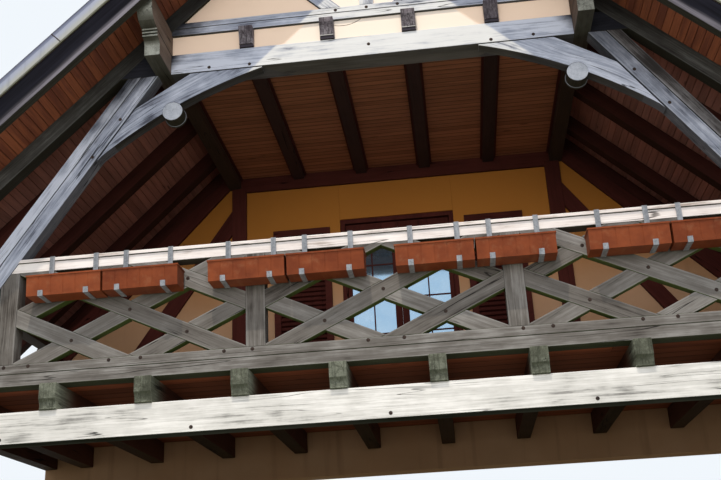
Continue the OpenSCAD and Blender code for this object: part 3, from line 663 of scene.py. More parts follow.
def timber_finish(name, pale, mid, dark, shelter, moss_in_shade, bleach=0.0, contrast=1.0, drips=0.0,
                  roof_shade=0.0, roof_shade_span=(0.45, 0.14), flank=0.0, hem=0.0, ridge_shade=0.0, shade_depth=0.0):
    """Softwood, outdoors in three greys, with its sheltered colour and the colour of its algae, which on
    undersides also carries painted shade. Drips are the upright marks of rain on the ends of a timber.
    Close under the roof, between two distances, it gets painted shade, and painted sunlight in the patch
    the lamp's sun reaches. Flank is how brown its sides are. Below the level of the hem its ends get
    painted shade, and a painted sunlit line on the ledge. It can also get painted shade towards the ridge,
    and painted shade in the moss colour on what lies deeper than a given depth."""
    shader, wire = new_finish(name, Specular_IOR_Level=0.15)
    place, half, tone, end, own = grain_wires(wire)
    broad = own.streaks(0.7, 9)
    streak = own.streaks(1.5, 34, roughness=0.55)
    fine = own.streaks(3.4, 95, roughness=0.6)
    fibre = own.streaks(9, 420, 2)
    patches = own.streaks(1.3, 4, 2)
    clouds = own.streaks(3.2, 6, 4, 0.6)
    look = (broad - 0.5) * 0.8 + (streak - 0.5) * 0.8 + (fine - 0.5) * 0.9 + (fibre - 0.5) * 0.5
    look = 0.5 + (look + (clouds - 0.5) * 1.2 + (tone - 0.5) * 0.5) * contrast + bleach
    greys = look.step(0.05, 0.5).mix(dark, mid)
    greys = look.step(0.45, 0.95).mix(greys, pale)
    cracks = abs(own.streaks(0.7, 17, 1.5, 0.4) - 0.5).step(0.009, 0.003) * patches.step(0.47, 0.60)
    arris = to_arris(place, half)
    worn = arris.step(0.014, 0.003) * (0.1 + streak * 0.7) * (1 - end)
    greys = worn.mix(greys, pale)
    position = wire.surface()
    depth = position.split("Y")
    level = depth.other("Z")
    facing = position.other("Normal").split("Z")
    if drips:
        runs = position.scaled((62, 62, 3)).noise(1, 3, 0.6).step(0.47, 0.60)
        greys = (runs * end * drips).mix(greys, shade(dark, 0.7))
    # Painted shade on the ends below the hem, and a painted sunlit line on the ledge in the sun's patch.
    if hem:
        greys = level.step(hem + 0.002, hem - 0.002).mix(greys, HEM_SHADE)
        ledge = level.step(hem, hem + 0.002) * level.step(hem + 0.010, hem + 0.007)
        greys = (ledge * end * sun_patch(position)).mix(greys, PAINTED_SUNLIGHT)
    # Painted shade close under the roof, then painted sunlight in the patch the lamp's sun reaches.
    if roof_shade:
        below = under_roof(position) + (clouds - 0.5) * (roof_shade_span[0] - roof_shade_span[1])
        greys = (below.step(*roof_shade_span) * roof_shade).mix(greys, look.mix(shade(dark, 0.08), shade(dark, 0.34)))
        greys = (sun_patch(position) * look.step(0.1, 0.7) * 0.8).mix(greys, PAINTED_SUNLIGHT)
    if flank:
        side = abs(facing.other("X")).step(0.6, 0.9) * flank
        greys = side.mix(greys, look.mix(shade(FLANK_BROWN, 0.6), FLANK_BROWN))
        greys = (side * arris.step(0.011, 0.003)).mix(greys, shade(FLANK_BROWN, 0.1))
    # Painted shade, in the moss colour, on what lies deeper than the given depth.
    if shade_depth:
        greys = depth.step(shade_depth + 0.003, shade_depth + 0.010).mix(greys, fine.mix(shade(moss_in_shade, 0.5), moss_in_shade))
    # Painted shade towards the ridge.
    if ridge_shade:
        greys = (level.step(2.4, 3.6) * ridge_shade).mix(greys, shade(dark, 0.5))
    inward = depth.step(FRONT + 0.03, FRONT + 0.40)
    colour = inward.mix(greys, look.step(0.1, 0.9).mix(shade(shelter, 0.6), shelter))
    # Algae on undersides, made darker still as painted shade.
    algae_and_shade = facing.step(-0.25, -0.8) * (0.7 + patches * 0.3 + fine * 0.3) * (1 - inward * 0.5) * 0.9
    colour = algae_and_shade.mix(colour, fine.step(0.3, 0.7).mix(shade(moss_in_shade, 0.6), moss_in_shade))
    rings = ring_pattern(place, tone)
    colour = (end * 0.8).mix(colour, (0.35 + rings * 0.45).mix(colour, shade(mid, 0.5)))
    colour = (cracks * 0.85).mix(colour, shade(dark, 0.12))
    height = streak * 0.5 + fine * 0.5 + fibre * 0.3 + broad * 0.2 - cracks * 1.6 - rings * end * 0.3
    feed(shader, Base_Color=colour, Roughness=0.62 + fine * 0.25, Normal=height.bump(0.75, 0.0022))


print("year rings in a metre:", round(RING_RATE / (2 * math.pi)))

# %% [markdown]
# The timbers of the house differ in age, stain and weather, so each kind gets its own row: the three
# greys, the sheltered colour and the algae with its painted shade as screen colours, and then what sets it
# apart, painted shade and sunlight among it.

# %% All timber finishes
SHELTER = (72, 56, 46)
# Algae colours for undersides, darkened to carry painted shade.
ALGAE_IN_SHADE = (52, 50, 39)
GREEN_ALGAE_IN_SHADE = (54, 62, 34)
SILVER = ((198, 204, 219), (154, 161, 178), (76, 79, 91), SHELTER, ALGAE_IN_SHADE)
BROWN_GREY = ((146, 144, 141), (106, 102, 98), (58, 53, 49), (82, 70, 60))
ATTIC_HEM = 3.272
TIMBERS = {
    "silver_timber": (SILVER, dict(roof_shade=0.98, contrast=1.1)),
    "collar_timber": (SILVER, dict(roof_shade=1.0, roof_shade_span=(0.45, 0.33), contrast=1.1)),
    "upper_shaded_timber": (SILVER, dict(roof_shade=0.72, roof_shade_span=(0.74, 0.20), contrast=1.1)),
    "dull_timber": (((180, 180, 186), (132, 130, 132), (78, 74, 73), SHELTER, ALGAE_IN_SHADE),
                    dict(roof_shade=0.75, roof_shade_span=(0.78, 0.14), contrast=1.1)),
    # The logs behind the braces get painted shade.
    "log_timber": (((226, 231, 241), (190, 197, 210), (124, 128, 141), SHELTER, ALGAE_IN_SHADE),
                   dict(shade_depth=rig.box("log_ends")[0].y)),
    "purlin_timber": (((206, 209, 200), (148, 150, 142), (62, 60, 56), SHELTER, ALGAE_IN_SHADE),
                      dict(roof_shade=0.35, flank=0.85)),
    "bar_timber": ((*BROWN_GREY, GREEN_ALGAE_IN_SHADE), dict(contrast=0.85)),
    # The lattice's underside green is algae with painted green light from plants in it.
    "lattice_timber": ((*BROWN_GREY, (92, 112, 52)), dict(contrast=0.6)),
    "beam_timber": (((242, 241, 238), (214, 213, 209), (134, 133, 130), (108, 92, 80), GREEN_ALGAE_IN_SHADE), {}),
    "joist_timber": (((146, 151, 136), (98, 101, 88), (50, 51, 41), (92, 56, 44), GREEN_ALGAE_IN_SHADE),
                     dict(drips=0.5)),
    "attic_timber": (((164, 160, 166), (108, 101, 108), (44, 37, 41), (74, 54, 50), (44, 36, 34)),
                     dict(drips=0.85, hem=ATTIC_HEM)),
    "rail_timber": (((246, 241, 238), (230, 222, 218), (162, 147, 137), (170, 144, 126), GREEN_ALGAE_IN_SHADE),
                    dict(bleach=0.15)),
    "rafter_timber": (((110, 112, 111), (76, 76, 74), (42, 40, 39), (76, 40, 34), (40, 38, 28)),
                      dict(ridge_shade=0.75)),
    "inner_timber": (((120, 70, 54), (86, 46, 38), (50, 28, 24), (88, 44, 38), (66, 36, 30)),
                     dict(contrast=0.7)),
}
for name, (colours, how) in TIMBERS.items():
    timber_finish(name, *(srgb(*colour) for colour in colours), **how)

# %% [markdown]
# The boards under the roof are planed and stained red-brown. Where the roof reaches out in front they
# have faded towards orange; over the loggia they have darkened to maroon. Each board has a tone of its
# own, and the joints between them are real gaps, so this finish needs only grain, knots, the fade and
# painted shade behind the verge and towards the ridge.

# %% Board finish
def board_finish(name, fresh, deep, inner):
    """Stained boards that darken from the verge to the wall, with painted shade close behind the verge and towards the
    ridge.
    """
    shader, wire = new_finish(name, Specular_IOR_Level=0.3)
    place, half, tone, _, own = grain_wires(wire)
    broad = own.streaks(1.1, 26)
    fine = own.streaks(3.5, 130, roughness=0.6)
    blotch = own.streaks(3, 13, roughness=0.6)
    look = 0.5 + (broad - 0.5) * 1.1 + (fine - 0.5) * 1.1 + (blotch - 0.5) * 0.9 + (tone - 0.5) * 0.5
    outer = look.step(0.0, 1.0).mix(deep, fresh)
    depth = wire.surface().split("Y")
    # Painted shade on boards close behind the verge and towards the ridge.
    verge_board_shade = depth.step(VERGE + 0.19, VERGE + 0.08) * 0.7
    outer = (verge_board_shade + depth.other("Z").step(2.5, 3.8) * 0.35).mix(outer, shade(deep, 0.4))
    dark = look.step(0.0, 1.0).mix(shade(inner, 0.6), inner)
    colour = depth.step(FRONT - 0.05, FRONT + 0.5).mix(outer, dark)
    colour = (to_arris(place, half).step(0.007, 0.001) * 0.75).mix(colour, shade(deep, 0.4))
    knots = own.node("TexVoronoi", {}, {"Vector": own.scaled((1.6, 7, 7)), "Scale": 1.0}, "Distance")
    colour = (knots.step(0.10, 0.05) * 0.7).mix(colour, shade(deep, 0.35))
    relief = (fine * 0.6 + broad * 0.3).bump(0.5, 0.001)
    feed(shader, Base_Color=colour, Roughness=0.6 + fine * 0.2, Normal=relief)


board_finish("soffit_wood", srgb(170, 100, 68), srgb(116, 64, 48), srgb(184, 132, 120))
board_finish("ceiling_wood", srgb(172, 118, 88), srgb(130, 86, 62), srgb(176, 120, 88))
board_finish("floor_wood", srgb(168, 88, 48), srgb(116, 54, 30), srgb(150, 80, 48))

# %% [markdown]
# Lime render is never one colour. A fine sand grain and the slow waves of the float show in raking
# light, rain leaves soft grey runs below the timbers, and the shade of the pigment wanders. The mortar
# at the ends of the ridge is mixed in the same way.

# %% Render finish
CRACK_CENTRE = Vector((-0.21, 3.64))
CRACK_RADIUS = 0.255
CRACK_ENDS = (-0.30, -0.05)
# Painted sunlight on the render where the lamp's sun reaches.
PAINTED_SUNLIT_PLASTER = srgb(228, 220, 210)


def hair_crack(place):
    """The curved crack in the panel between the two middle joist heads, 1 in its line."""
    parts = place.split("X")
    across = parts - CRACK_CENTRE.x
    up = parts.other("Z") - CRACK_CENTRE.y
    line = abs(distance(across, up) - CRACK_RADIUS + (place.noise(60) - 0.5) * 0.008)
    left, right = CRACK_ENDS
    ends = parts.step(left - 0.005, left) * parts.step(right + 0.005, right)
    in_gable = parts.other("Y").step(FRONT + 0.5, FRONT + 0.4)
    return line.step(0.0045, 0.0015) * ends * up.step(0.0, -0.01) * in_gable


def render_finish(name, main, pale, stain, warm_bounce):
    """Lime render. High up on the wall of the rooms, under the ceiling, a warm colour is painted as bounced light, and
    where the lamp's sun reaches it gets painted sunlight.
    """
    shader, wire = new_finish(name, Specular_IOR_Level=0.2)
    place = wire.surface()
    cloud = place.noise(1.4, 4, 0.55)
    grain = place.noise(260, 3, 0.6)
    float_marks = place.scaled((7, 7, 11)).noise(1, 3, 0.5)
    runs = place.scaled((9, 9, 0.7)).noise(1, 3, 0.5)
    colour = cloud.step(0.30, 0.72).mix(main, pale)
    colour = (runs.step(0.55, 0.78) * 0.45).mix(colour, stain)
    depth = place.split("Y")
    # Painted warm bounce light high on the room walls, under the ceiling.
    height_in_room = depth.other("Z").step(1.5, 2.7) * depth.step(WALL + 0.2, WALL + 0.1)
    colour = height_in_room.mix(colour, (0.4 + cloud * 0.6).mix(shade(warm_bounce, 0.8), warm_bounce))
    # Painted sunlight in the patch the lamp's sun reaches.
    colour = (sun_patch(place) * 0.8).mix(colour, PAINTED_SUNLIT_PLASTER)
    crack = hair_crack(place)
    colour = (crack * 0.9).mix(colour, shade(stain, 0.15))
    height = grain * 0.7 + float_marks * 0.9 - crack
    feed(shader, Base_Color=colour, Roughness=0.88 + grain * 0.1, Normal=height.bump(0.6, 0.0022))


# The last colour of each row is the warm bounce light painted high in the rooms.
RENDERS = {
    "gable_render": ((251, 222, 196), (252, 229, 208), (236, 202, 172), (252, 226, 203)),
    "room_render": ((188, 148, 112), (198, 160, 126), (152, 118, 86), (190, 126, 56)),
    "mortar": ((150, 144, 134), (164, 158, 148), (112, 106, 96), (150, 144, 134)),
}
for name, colours in RENDERS.items():
    render_finish(name, *(srgb(*colour) for colour in colours))

# %% [markdown]
# Small finishes: the clay of the tiles, which differs from tile to tile and carries lichen; the pale
# sheet of the verge; moulded planters in terracotta plastic that the sun has chalked; zinc and rusty
# iron; and the glass of the door.

# %% Clay, zinc and iron
def clay_finish(name, red, dark, lichen):
    """Fired clay, each tile in its own red, with lichen and a dirty foot."""
    shader, wire = new_finish(name)
    place, _, tone, _, own = grain_wires(wire)
    cloud = own.noise(9, 4, 0.6)
    sand = own.noise(240, 2, 0.6)
    colour = (tone * 0.75 + cloud * 0.45 - 0.1).step(0.0, 1.0).mix(dark, red)
    spots = own.noise(34, 4, 0.65).step(0.60, 0.70)
    colour = (spots * 0.8).mix(colour, lichen)
    foot = place.split("X").step(0.10, 0.19)
    colour = (foot * cloud * 0.8).mix(colour, shade(dark, 0.35))
    relief = (sand * 0.5 + cloud * 0.5 + spots * 0.3).bump(0.6, 0.0015)
    feed(shader, Base_Color=colour, Roughness=0.78 + sand * 0.18, Normal=relief)


def sheet_finish(name, bright, dull, metallic, rough, mottle):
    """Sheet and bar metal with a mottled or chalky skin."""
    shader, wire = new_finish(name, Metallic=metallic)
    place = wire.surface()
    cloud = place.noise(mottle, 3, 0.6)
    runs = place.scaled((30, 30, 2)).noise(1, 2, 0.5)
    colour = (cloud * 0.6 + runs * 0.5).step(0.3, 0.8).mix(dull, bright)
    relief = place.noise(mottle * 22, 2, 0.5).bump(0.3, 0.0006)
    feed(shader, Base_Color=colour, Roughness=rough + (cloud - 0.5) * 0.3, Normal=relief)


clay_finish("roof_clay", srgb(158, 84, 60), srgb(98, 52, 42), srgb(150, 150, 132))
sheet_finish("zinc", srgb(176, 178, 182), srgb(122, 125, 130), 0.6, 0.55, 60.0)
sheet_finish("old_iron", srgb(74, 58, 50), srgb(36, 30, 28), 0.35, 0.7, 90.0)

# %% Paint of the verge sheet
# Painted sheet: blue-grey above its ledge, paler on its face, and yellowed and dirty at its foot.
shader, wire = new_finish("verge_metal")
position = wire.surface()
cloud = position.noise(5, 3, 0.6)
up = 0 - under_roof(position)
face = (up + (cloud - 0.5) * 0.03).step(0.03, 0.09).mix(srgb(154, 156, 152), srgb(146, 152, 171))
above = up.step(0.097, 0.14).mix(srgb(130, 137, 158), srgb(80, 84, 104))
colour = up.step(0.094, 0.097).mix(face, above)
colour = up.step(0.026, 0.018).mix(colour, srgb(84, 84, 68))
colour = up.step(0.138, 0.141).mix(colour, srgb(34, 34, 40))
runs = position.scaled((30, 30, 2)).noise(1, 2, 0.5)
colour = (runs.step(0.5, 0.8) * 0.4).mix(colour, srgb(112, 116, 130))
feed(shader, Base_Color=colour, Roughness=0.45 + cloud * 0.2, Normal=cloud.bump(0.3, 0.003))

# %% Terracotta plastic
# Moulded plastic in terracotta, chalked by the sun and a little dusty.
shader, wire = new_finish("planter_plastic", Specular_IOR_Level=0.2)
_, _, tone, _, own = grain_wires(wire)
chalk = own.noise(7, 4, 0.6)
dust = own.scaled((14, 14, 3)).noise(1, 3, 0.6)
colour = (chalk * 0.8 + tone * 0.3).step(0.25, 0.85).mix(srgb(100, 46, 24), srgb(138, 72, 42))
colour = (dust.step(0.52, 0.75) * 0.3).mix(colour, srgb(146, 102, 74))
relief = own.noise(420, 2, 0.5).bump(0.25, 0.0006)
feed(shader, Base_Color=colour, Roughness=0.46 + chalk * 0.25, Normal=relief)

# %% Glass of the door
# Coated glass against a dark room: it mirrors the sky below and the dark ceiling above.
shader, wire = new_finish("door_pane", Metallic=0.9, Alpha=0.94)
film = wire.surface().noise(6, 3, 0.6)
feed(shader, Base_Color=film.mix(srgb(160, 198, 228), srgb(196, 220, 238)), Roughness=0.03 + film * 0.05)

# %% [markdown]
# Many pieces keep the exact shape of the CAD solids and only get eased edges and grain: the front frame
# from the beam under the joists up to the gable, the log that ends in a round disc behind each brace, the
# frame and the rendered wall of the rooms, the moulded flower boxes with their zinc hooks, and the glass.
# A row gives the slot, the finish, how far edges are eased, the way of the grain and the nodes.

# %% Pieces in their CAD shape
EASE = 0.005
PIECES = (
    ("weathered_timber", "beam_timber", EASE, None, "lower_beam"),
    ("weathered_timber", "bar_timber", 0.003, X_AXIS, "sill_plate"),
    ("weathered_timber", "joist_timber", 0.003, Y_AXIS, "floor_joists"),
    ("weathered_timber", "bar_timber", EASE, Z_AXIS, "balcony_posts"),
    ("weathered_timber", "rail_timber", EASE, None, "handrail", "handrail_cap"),
    ("weathered_timber", "collar_timber", 0.004, X_AXIS, "collar_beam"),
    ("weathered_timber", "silver_timber", 0.003, X_AXIS, "upper_sill_beam"),
    ("weathered_timber", "purlin_timber", 0.002, Y_AXIS, "purlin_bolsters", "roof_purlins"),
    ("weathered_timber", "silver_timber", EASE, Z_AXIS, "king_post"),
    ("weathered_timber", "silver_timber", EASE, None, "gable_braces"),
    ("weathered_timber", "log_timber", 0.004, Y_AXIS, "log_ends"),
    ("dark_timber", "attic_timber", 0.003, Y_AXIS, "attic_joists"),
    ("dark_timber", "inner_timber", EASE, Z_AXIS, "knee_posts", "back_posts"),
    ("dark_timber", "inner_timber", EASE, X_AXIS, "back_beam"),
    ("dark_timber", "inner_timber", EASE, None, "back_braces"),
    ("dark_timber", "inner_timber", 0.003, Z_AXIS, "door_frame", "door_leaves"),
    ("gable_render", "gable_render", 0.006, None, "joist_infill", "gable_plaster"),
    ("wall_render", "room_render", 0.004, None, "back_wall_base", "back_wall_left", "back_wall_right",
     "back_wall_over_door"),
    ("terracotta_plastic", "planter_plastic", 0.002, X_AXIS, "flower_boxes"),
    ("galvanised_steel", "zinc", 0.0008, Z_AXIS, "box_hangers"),
    ("window_glass", "door_pane", 0.001, None, "door_glass"),
)
for slot, material, ease, along, *nodes in PIECES:
    for node in nodes:
        timbers(node, slot, material, ease, along)

# %% [markdown]
# The curved braces are sawn from bent trees, so their grain follows the curve. Each point's place along
# the grain is its angle about the centre of the arc, and its place across is its distance from the arc.

# %% Curved braces
BRACE_TIP = Vector((0.9116, 3.042))
BRACE_FOOT = Vector((2.3294, 2.300))
BRACE_RISE = 0.082
BRACE_NECK = COLLAR - 0.298
BRACE_JOINT = 0.009
BRACE_TONES = {-1: 0.3, 1: 0.8}
NEAR = 0.001


def brace_grain(side):
    """The place in the grain of a brace on one side of the house."""
    chord = BRACE_FOOT - BRACE_TIP
    radius = chord.length_squared / (8 * BRACE_RISE) + BRACE_RISE / 2
    outward = Vector((-chord.y, chord.x)).normalized()
    centre = (BRACE_TIP + BRACE_FOOT) / 2 - outward * (radius - BRACE_RISE)
    start = math.atan2(outward.y, outward.x)

    def place(point):
        arm = Vector((point.x * side, point.z)) - centre
        turn = start - math.atan2(arm.y, arm.x)
        return Vector((turn * radius, arm.length - radius, point.y - FRONT))

    return place


def open_joint(point, side):
    """A corner of a brace, drawn back where the brace meets the collar or the strut."""
    if abs(point.z - COLLAR) < NEAR:
        return point - Z_AXIS * BRACE_JOINT
    at_tip = abs(point.z - BRACE_FOOT.y) < NEAR and abs(point.x) > BRACE_FOOT.x - 10 * NEAR
    if at_tip or abs(point.z - BRACE_NECK) < NEAR:
        return point - Vector((side * BRACE_JOINT * 0.8, 0, BRACE_JOINT * 0.6))
    return point


# Both braces, with open joints and bent grain.
work = Joinery("curved_braces")
for points, faces in cad_solids("curved_braces"):
    side = 1 if points[0].x > 0 else -1
    points = [open_joint(point, side) for point in points]
    work.add((points, faces), along=X_AXIS, ease=0.004, bend=brace_grain(side), tone=BRACE_TONES[side])
work.place("curved_braces_wood", "weathered_timber", ["silver_timber"], ["curved_braces"])

# %% [markdown]
# Two timbers make each strut. The left ones are silver and the right outer one is dull all along, as
# they weathered; the right inner one has painted shade over its upper half, and all get painted shade
# close under the roof.

# %% Struts
def struts(name, right_timber, left_tone, right_tone):
    """The struts of one row, with the finish of the right one and the tone of each side."""
    work = Joinery(name)
    for solid in cad_solids(name):
        right = solid[0][0].x > 0
        work.add(solid, ease=0.004, shrink=0.004, part=int(right), tone=right_tone if right else left_tone)
    work.place(name + "_wood", "weathered_timber", ["silver_timber", right_timber], [name])


struts("inner_struts", "upper_shaded_timber", 0.6, 0.7)
struts("outer_struts", "dull_timber", 1.0, 0.12)

# %% [markdown]
# The parapet is a lattice of half-lapped bars. Each bar that runs through is one solid; the bars that
# cross it are cut at its edges with a hair-thin joint, and sit a little deeper, as the CAD has them.
# The shapes come from clipping a strip with straight lines, one line at a time.

# %% Lattice
LATTICE_LOW, LATTICE_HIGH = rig.box("lattice_middle")
LATTICE_Z = (LATTICE_LOW.z + LATTICE_HIGH.z) / 2
LATTICE_HEIGHT = LATTICE_HIGH.z - LATTICE_LOW.z
LATTICE_HALF = (LATTICE_HIGH.x - LATTICE_LOW.x) / 2
BAR_WIDTH = 0.13
BAR_THICK = 0.08
LAP_STEP = 0.003
LAP_JOINT = 0.0015
FAR = 9.0
LATTICE_RISE = 0.2155
BAR_TILT = math.atan2(LATTICE_RISE, LATTICE_HALF / 2)


def clipped(outline, corner, outward):
    """The part of a convex outline on the inner side of a line."""
    kept = []
    for first, second in zip(outline, outline[1:] + outline[:1]):
        a = (first - corner).dot(outward)
        b = (second - corner).dot(outward)
        if a <= 0:
            kept.append(first)
        if (a < 0 < b) or (b < 0 < a):
            kept.append(first + (second - first) * (a / (a - b)))
    return kept


def strip(centre, tilt, low, high):
    """A long strip across the bay, from low to high across its own direction."""
    along = Vector((math.cos(tilt), math.sin(tilt)))
    across = Vector((-along.y, along.x))
    return [centre + along * s * 2 + across * v for s, v in ((-1, low), (1, low), (1, high), (-1, high))]


def lattice(name, middle_x, through):
    """One bay. The bars that tilt the way of through run whole, and the others are cut at their edges."""
    middle = Vector((middle_x, LATTICE_Z))
    half = BAR_WIDTH / 2
    centres = [middle + Vector((k * LATTICE_HALF, 0)) for k in (-1, 0, 1)]
    edges = [(middle + Vector((LATTICE_HALF, 0)) * way, Vector((way, 0))) for way in (1, -1)]
    edges += [(middle + Vector((0, LATTICE_HEIGHT / 2)) * way, Vector((0, way))) for way in (1, -1)]
    tilt = through * BAR_TILT
    across = Vector((-math.sin(tilt), math.cos(tilt)))
    work = Joinery(name)

    def add_bar(outline, depth, bar_tilt, tone):
        for corner, outward in edges:
            outline = clipped(outline, corner, outward)
        if len(outline) > 2:
            direction = Vector((math.cos(bar_tilt), 0, math.sin(bar_tilt)))
            solid = prism([tuple(point) for point in outline], FRONT + depth, FRONT + depth + BAR_THICK)
            work.add(solid, along=direction, ease=0.004, tone=tone)

    for centre in centres:
        add_bar(strip(centre, tilt, -half, half), 0, tilt, work.random.random())
    cuts = sorted(centre.dot(across) for centre in centres)
    stops = [-FAR, *(cut + way * half for cut in cuts for way in (-1, 1)), FAR]
    for centre in centres:
        tone = work.random.random()
        for low, high in zip(stops[::2], stops[1::2]):
            outline = strip(centre, -tilt, -half, half)
            outline = clipped(outline, across * (high - LAP_JOINT), across)
            outline = clipped(outline, across * (low + LAP_JOINT), -across)
            add_bar(outline, LAP_STEP, -tilt, tone)
    work.place(name + "_bars", "weathered_timber", ["lattice_timber"], [name])


for node, through in (("lattice_left", -1), ("lattice_middle", 1), ("lattice_right", -1)):
    low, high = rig.box(node)
    lattice(node, (low.x + high.x) / 2, through)

# %% [markdown]
# Boards. The roof, the ceiling and the balcony floor are single slabs in the CAD model. Here they are
# laid board by board, with an open joint, eased edges and a tone for each board. A roof board is as long
# as two rafters apart or more, so its butt joints hide above a rafter.

# %% Roof boards
ROOF_BOARD_WIDTH = 0.070
BOARD_JOINT = 0.004
EAVES_TRIM = 0.012
BUTT_JOINTS = (-1.0735, -0.4535, 0.3365, 1.1265)
BUTT_GAP = 0.001
SLOPE_LENGTH = EAVES / math.cos(PITCH)


def on_slope(side, along, depth, rise):
    """A point on a roof slope: metres down from the ridge, depth in the house, rise off the boards."""
    down = Vector((side * math.cos(PITCH), 0, -math.sin(PITCH)))
    up = Vector((side * math.sin(PITCH), 0, math.cos(PITCH)))
    return Vector((0, depth, RIDGE)) + down * along + up * rise


def slope_block(side, along, depth, rise, mitred=False):
    """A squared solid on a slope, between pairs of distances, or cut upright at its upper end."""
    lean = math.tan(PITCH) if mitred else 0
    points = [on_slope(side, a, d, r) for d in depth for a, r in
              ((along[0] - rise[0] * lean, rise[0]), (along[1], rise[0]),
               (along[1], rise[1]), (along[0] - rise[1] * lean, rise[1]))]
    faces = [[0, 1, 2, 3], [7, 6, 5, 4], [0, 4, 5, 1], [1, 5, 6, 2], [2, 6, 7, 3], [3, 7, 4, 0]]
    return points, faces


def roof_boards(name, side):
    """The boards of one slope, each in two lengths that butt above a rafter."""
    work = Joinery(name)
    length = SLOPE_LENGTH - EAVES_TRIM - BOARD * math.tan(PITCH)
    count = round(length / ROOF_BOARD_WIDTH)
    width = length / count
    for k in range(count):
        along = (k * width + BOARD_JOINT / 2, (k + 1) * width - BOARD_JOINT / 2)
        joint = work.random.choice(BUTT_JOINTS)
        for depth in ((VERGE, joint - BUTT_GAP), (joint + BUTT_GAP, REAR)):
            work.add(slope_block(side, along, depth, (0, BOARD)), along=Y_AXIS, ease=0.003)
    work.place(name + "_laid", "soffit_boards", ["soffit_wood"], [name])


roof_boards("roof_boards_left", -1)
roof_boards("roof_boards_right", 1)

# %% [markdown]
# The board behind the verge sheet has the sheet's shadow painted on it, nearly black, and a painted sunlit
# band along its foot, where the lamp's sun reaches it. A lath doubles it at the back, up to the roof boards.

# %% Rafters and verge boards
VERGE_SHADE = 0.150
VERGE_BOARD = 0.038
DOUBLER = 0.045
BOARD_DEEP = 0.190
LATH_GAP = 0.001
RAFTER_TONE = 0.2

# Painted shadow of the verge sheet above, a painted sunlit band along the foot, and algae green with painted shade
# below.
shader, wire = new_finish("verge_timber", Specular_IOR_Level=0.05)
*_, own = grain_wires(wire)
streak = own.streaks(1.2, 30, roughness=0.55)
fine = own.streaks(3.4, 110, roughness=0.6)
clouds = own.streaks(1.4, 7, roughness=0.6)
look = 0.5 + (streak - 0.5) * 1.2 + (fine - 0.5) * 0.8
position = wire.surface()
below = under_roof(position) + (clouds - 0.5) * 0.05
# Above this distance the sheet's shadow is painted, below it a painted sunlit band.
lit = below.step(VERGE_SHADE - 0.02, VERGE_SHADE + 0.03)
dark = look.step(0.1, 0.9).mix(srgb(16, 16, 20), srgb(32, 32, 40))
pale = look.step(0.1, 0.9).mix(srgb(68, 66, 72), srgb(124, 121, 130))
# Undersides: algae green, darkened as painted shade.
down = position.other("Normal").split("Z").step(-0.25, -0.6)
colour = (down * 0.85).mix(lit.mix(dark, pale), look.mix(srgb(34, 34, 24), srgb(56, 56, 38)))
relief = (streak * 0.5 + fine * 0.6).bump(0.7, 0.002)
feed(shader, Base_Color=colour, Roughness=0.7 + fine * 0.2, Normal=relief)


def rafters(name, side):
    """The rafters of one slope, and the verge board with the lath that doubles it."""
    work = Joinery(name)
    for solid in cad_solids(name):
        at_verge = min(point.y for point in solid[0]) < VERGE + 0.05
        tone = None if at_verge else 0.5 - side * RAFTER_TONE
        work.add(solid, ease=0.003 if at_verge else EASE, part=int(at_verge), tone=tone)
    depth = (VERGE + VERGE_BOARD + LATH_GAP, VERGE + VERGE_BOARD + DOUBLER)
    lath = slope_block(side, (LATH_GAP, SLOPE_LENGTH - 0.01), depth, (-BOARD_DEEP, -LATH_GAP), mitred=True)
    work.add(lath, ease=0.003, part=1)
    work.place(name + "_wood", "dark_timber", ["rafter_timber", "verge_timber"], [name])


rafters("rafters_left", -1)
rafters("rafters_right", 1)

# %% [markdown]
# Between the ceiling joists lie narrow boards on cleats, one panel in each bay. The balcony floor has
# broader boards, in two lengths, whose butt joints fall where they please.

# %% Level boards
def add_level_boards(work, low, high, width, butt=False):
    """Boards that run across the house between two corners, in two lengths if they butt."""
    count = round((high.y - low.y) / width)
    pitch = (high.y - low.y) / count
    for k in range(count):
        front = low.y + k * pitch + BOARD_JOINT / 2
        lengths = ((low.x, high.x),)
        if butt:
            joint = work.random.uniform(low.x * 0.6, high.x * 0.6)
            lengths = ((low.x, joint - BUTT_GAP), (joint + BUTT_GAP, high.x))
        for x0, x1 in lengths:
            solid = block((x0, front, low.z), (x1, front + pitch - BOARD_JOINT, high.z))
            work.add(solid, along=X_AXIS, ease=0.002)


print("joint between boards:", BOARD_JOINT)

# %% Ceiling
CEILING_WIDTH = 0.075
CEILING_BOARD = 0.020
CLEAT = 0.024
CLEAT_STOP = 0.04

# One boarded panel between each pair of joists, with a cleat along each side.
work = Joinery("ceiling_boards")
for solid in cad_solids("ceiling_boards"):
    low, high = reach_of(solid[0])
    add_level_boards(work, Vector((low.x, low.y, high.z - CEILING_BOARD)), high, CEILING_WIDTH)
    for x0 in (low.x, high.x - CLEAT):
        cleat = block((x0, low.y, low.z), (x0 + CLEAT, WALL - CLEAT_STOP, high.z - CEILING_BOARD))
        work.add(cleat, along=Y_AXIS, ease=0.002, part=1)
work.place("ceiling_boards_laid", "soffit_boards", ["ceiling_wood", "inner_timber"], ["ceiling_boards"])

# %% Balcony floor
FLOOR_WIDTH = 0.15

# The boards run along the house front.
work = Joinery("floor_boards")
add_level_boards(work, *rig.box("floor_boards"), FLOOR_WIDTH, butt=True)
work.place("floor_boards_laid", "brown_boards", ["floor_wood"], ["floor_boards"])

# %% [markdown]
# Low parapets close the sides under the eaves: upright boards on three rails, with a strip over each
# joint. They are laid in layers from the face inwards, each named by how deep it reaches.

# %% Side parapets
PARAPET_BOARD = 0.14
STRIP_DEPTH = 0.012
BOARD_DEPTH = 0.038
RAIL_DEPTH = 0.060
STRIP_HALF = 0.025
RAIL_HIGH = 0.06
RAIL_UP = 0.08
PARAPET_GAP = 0.002


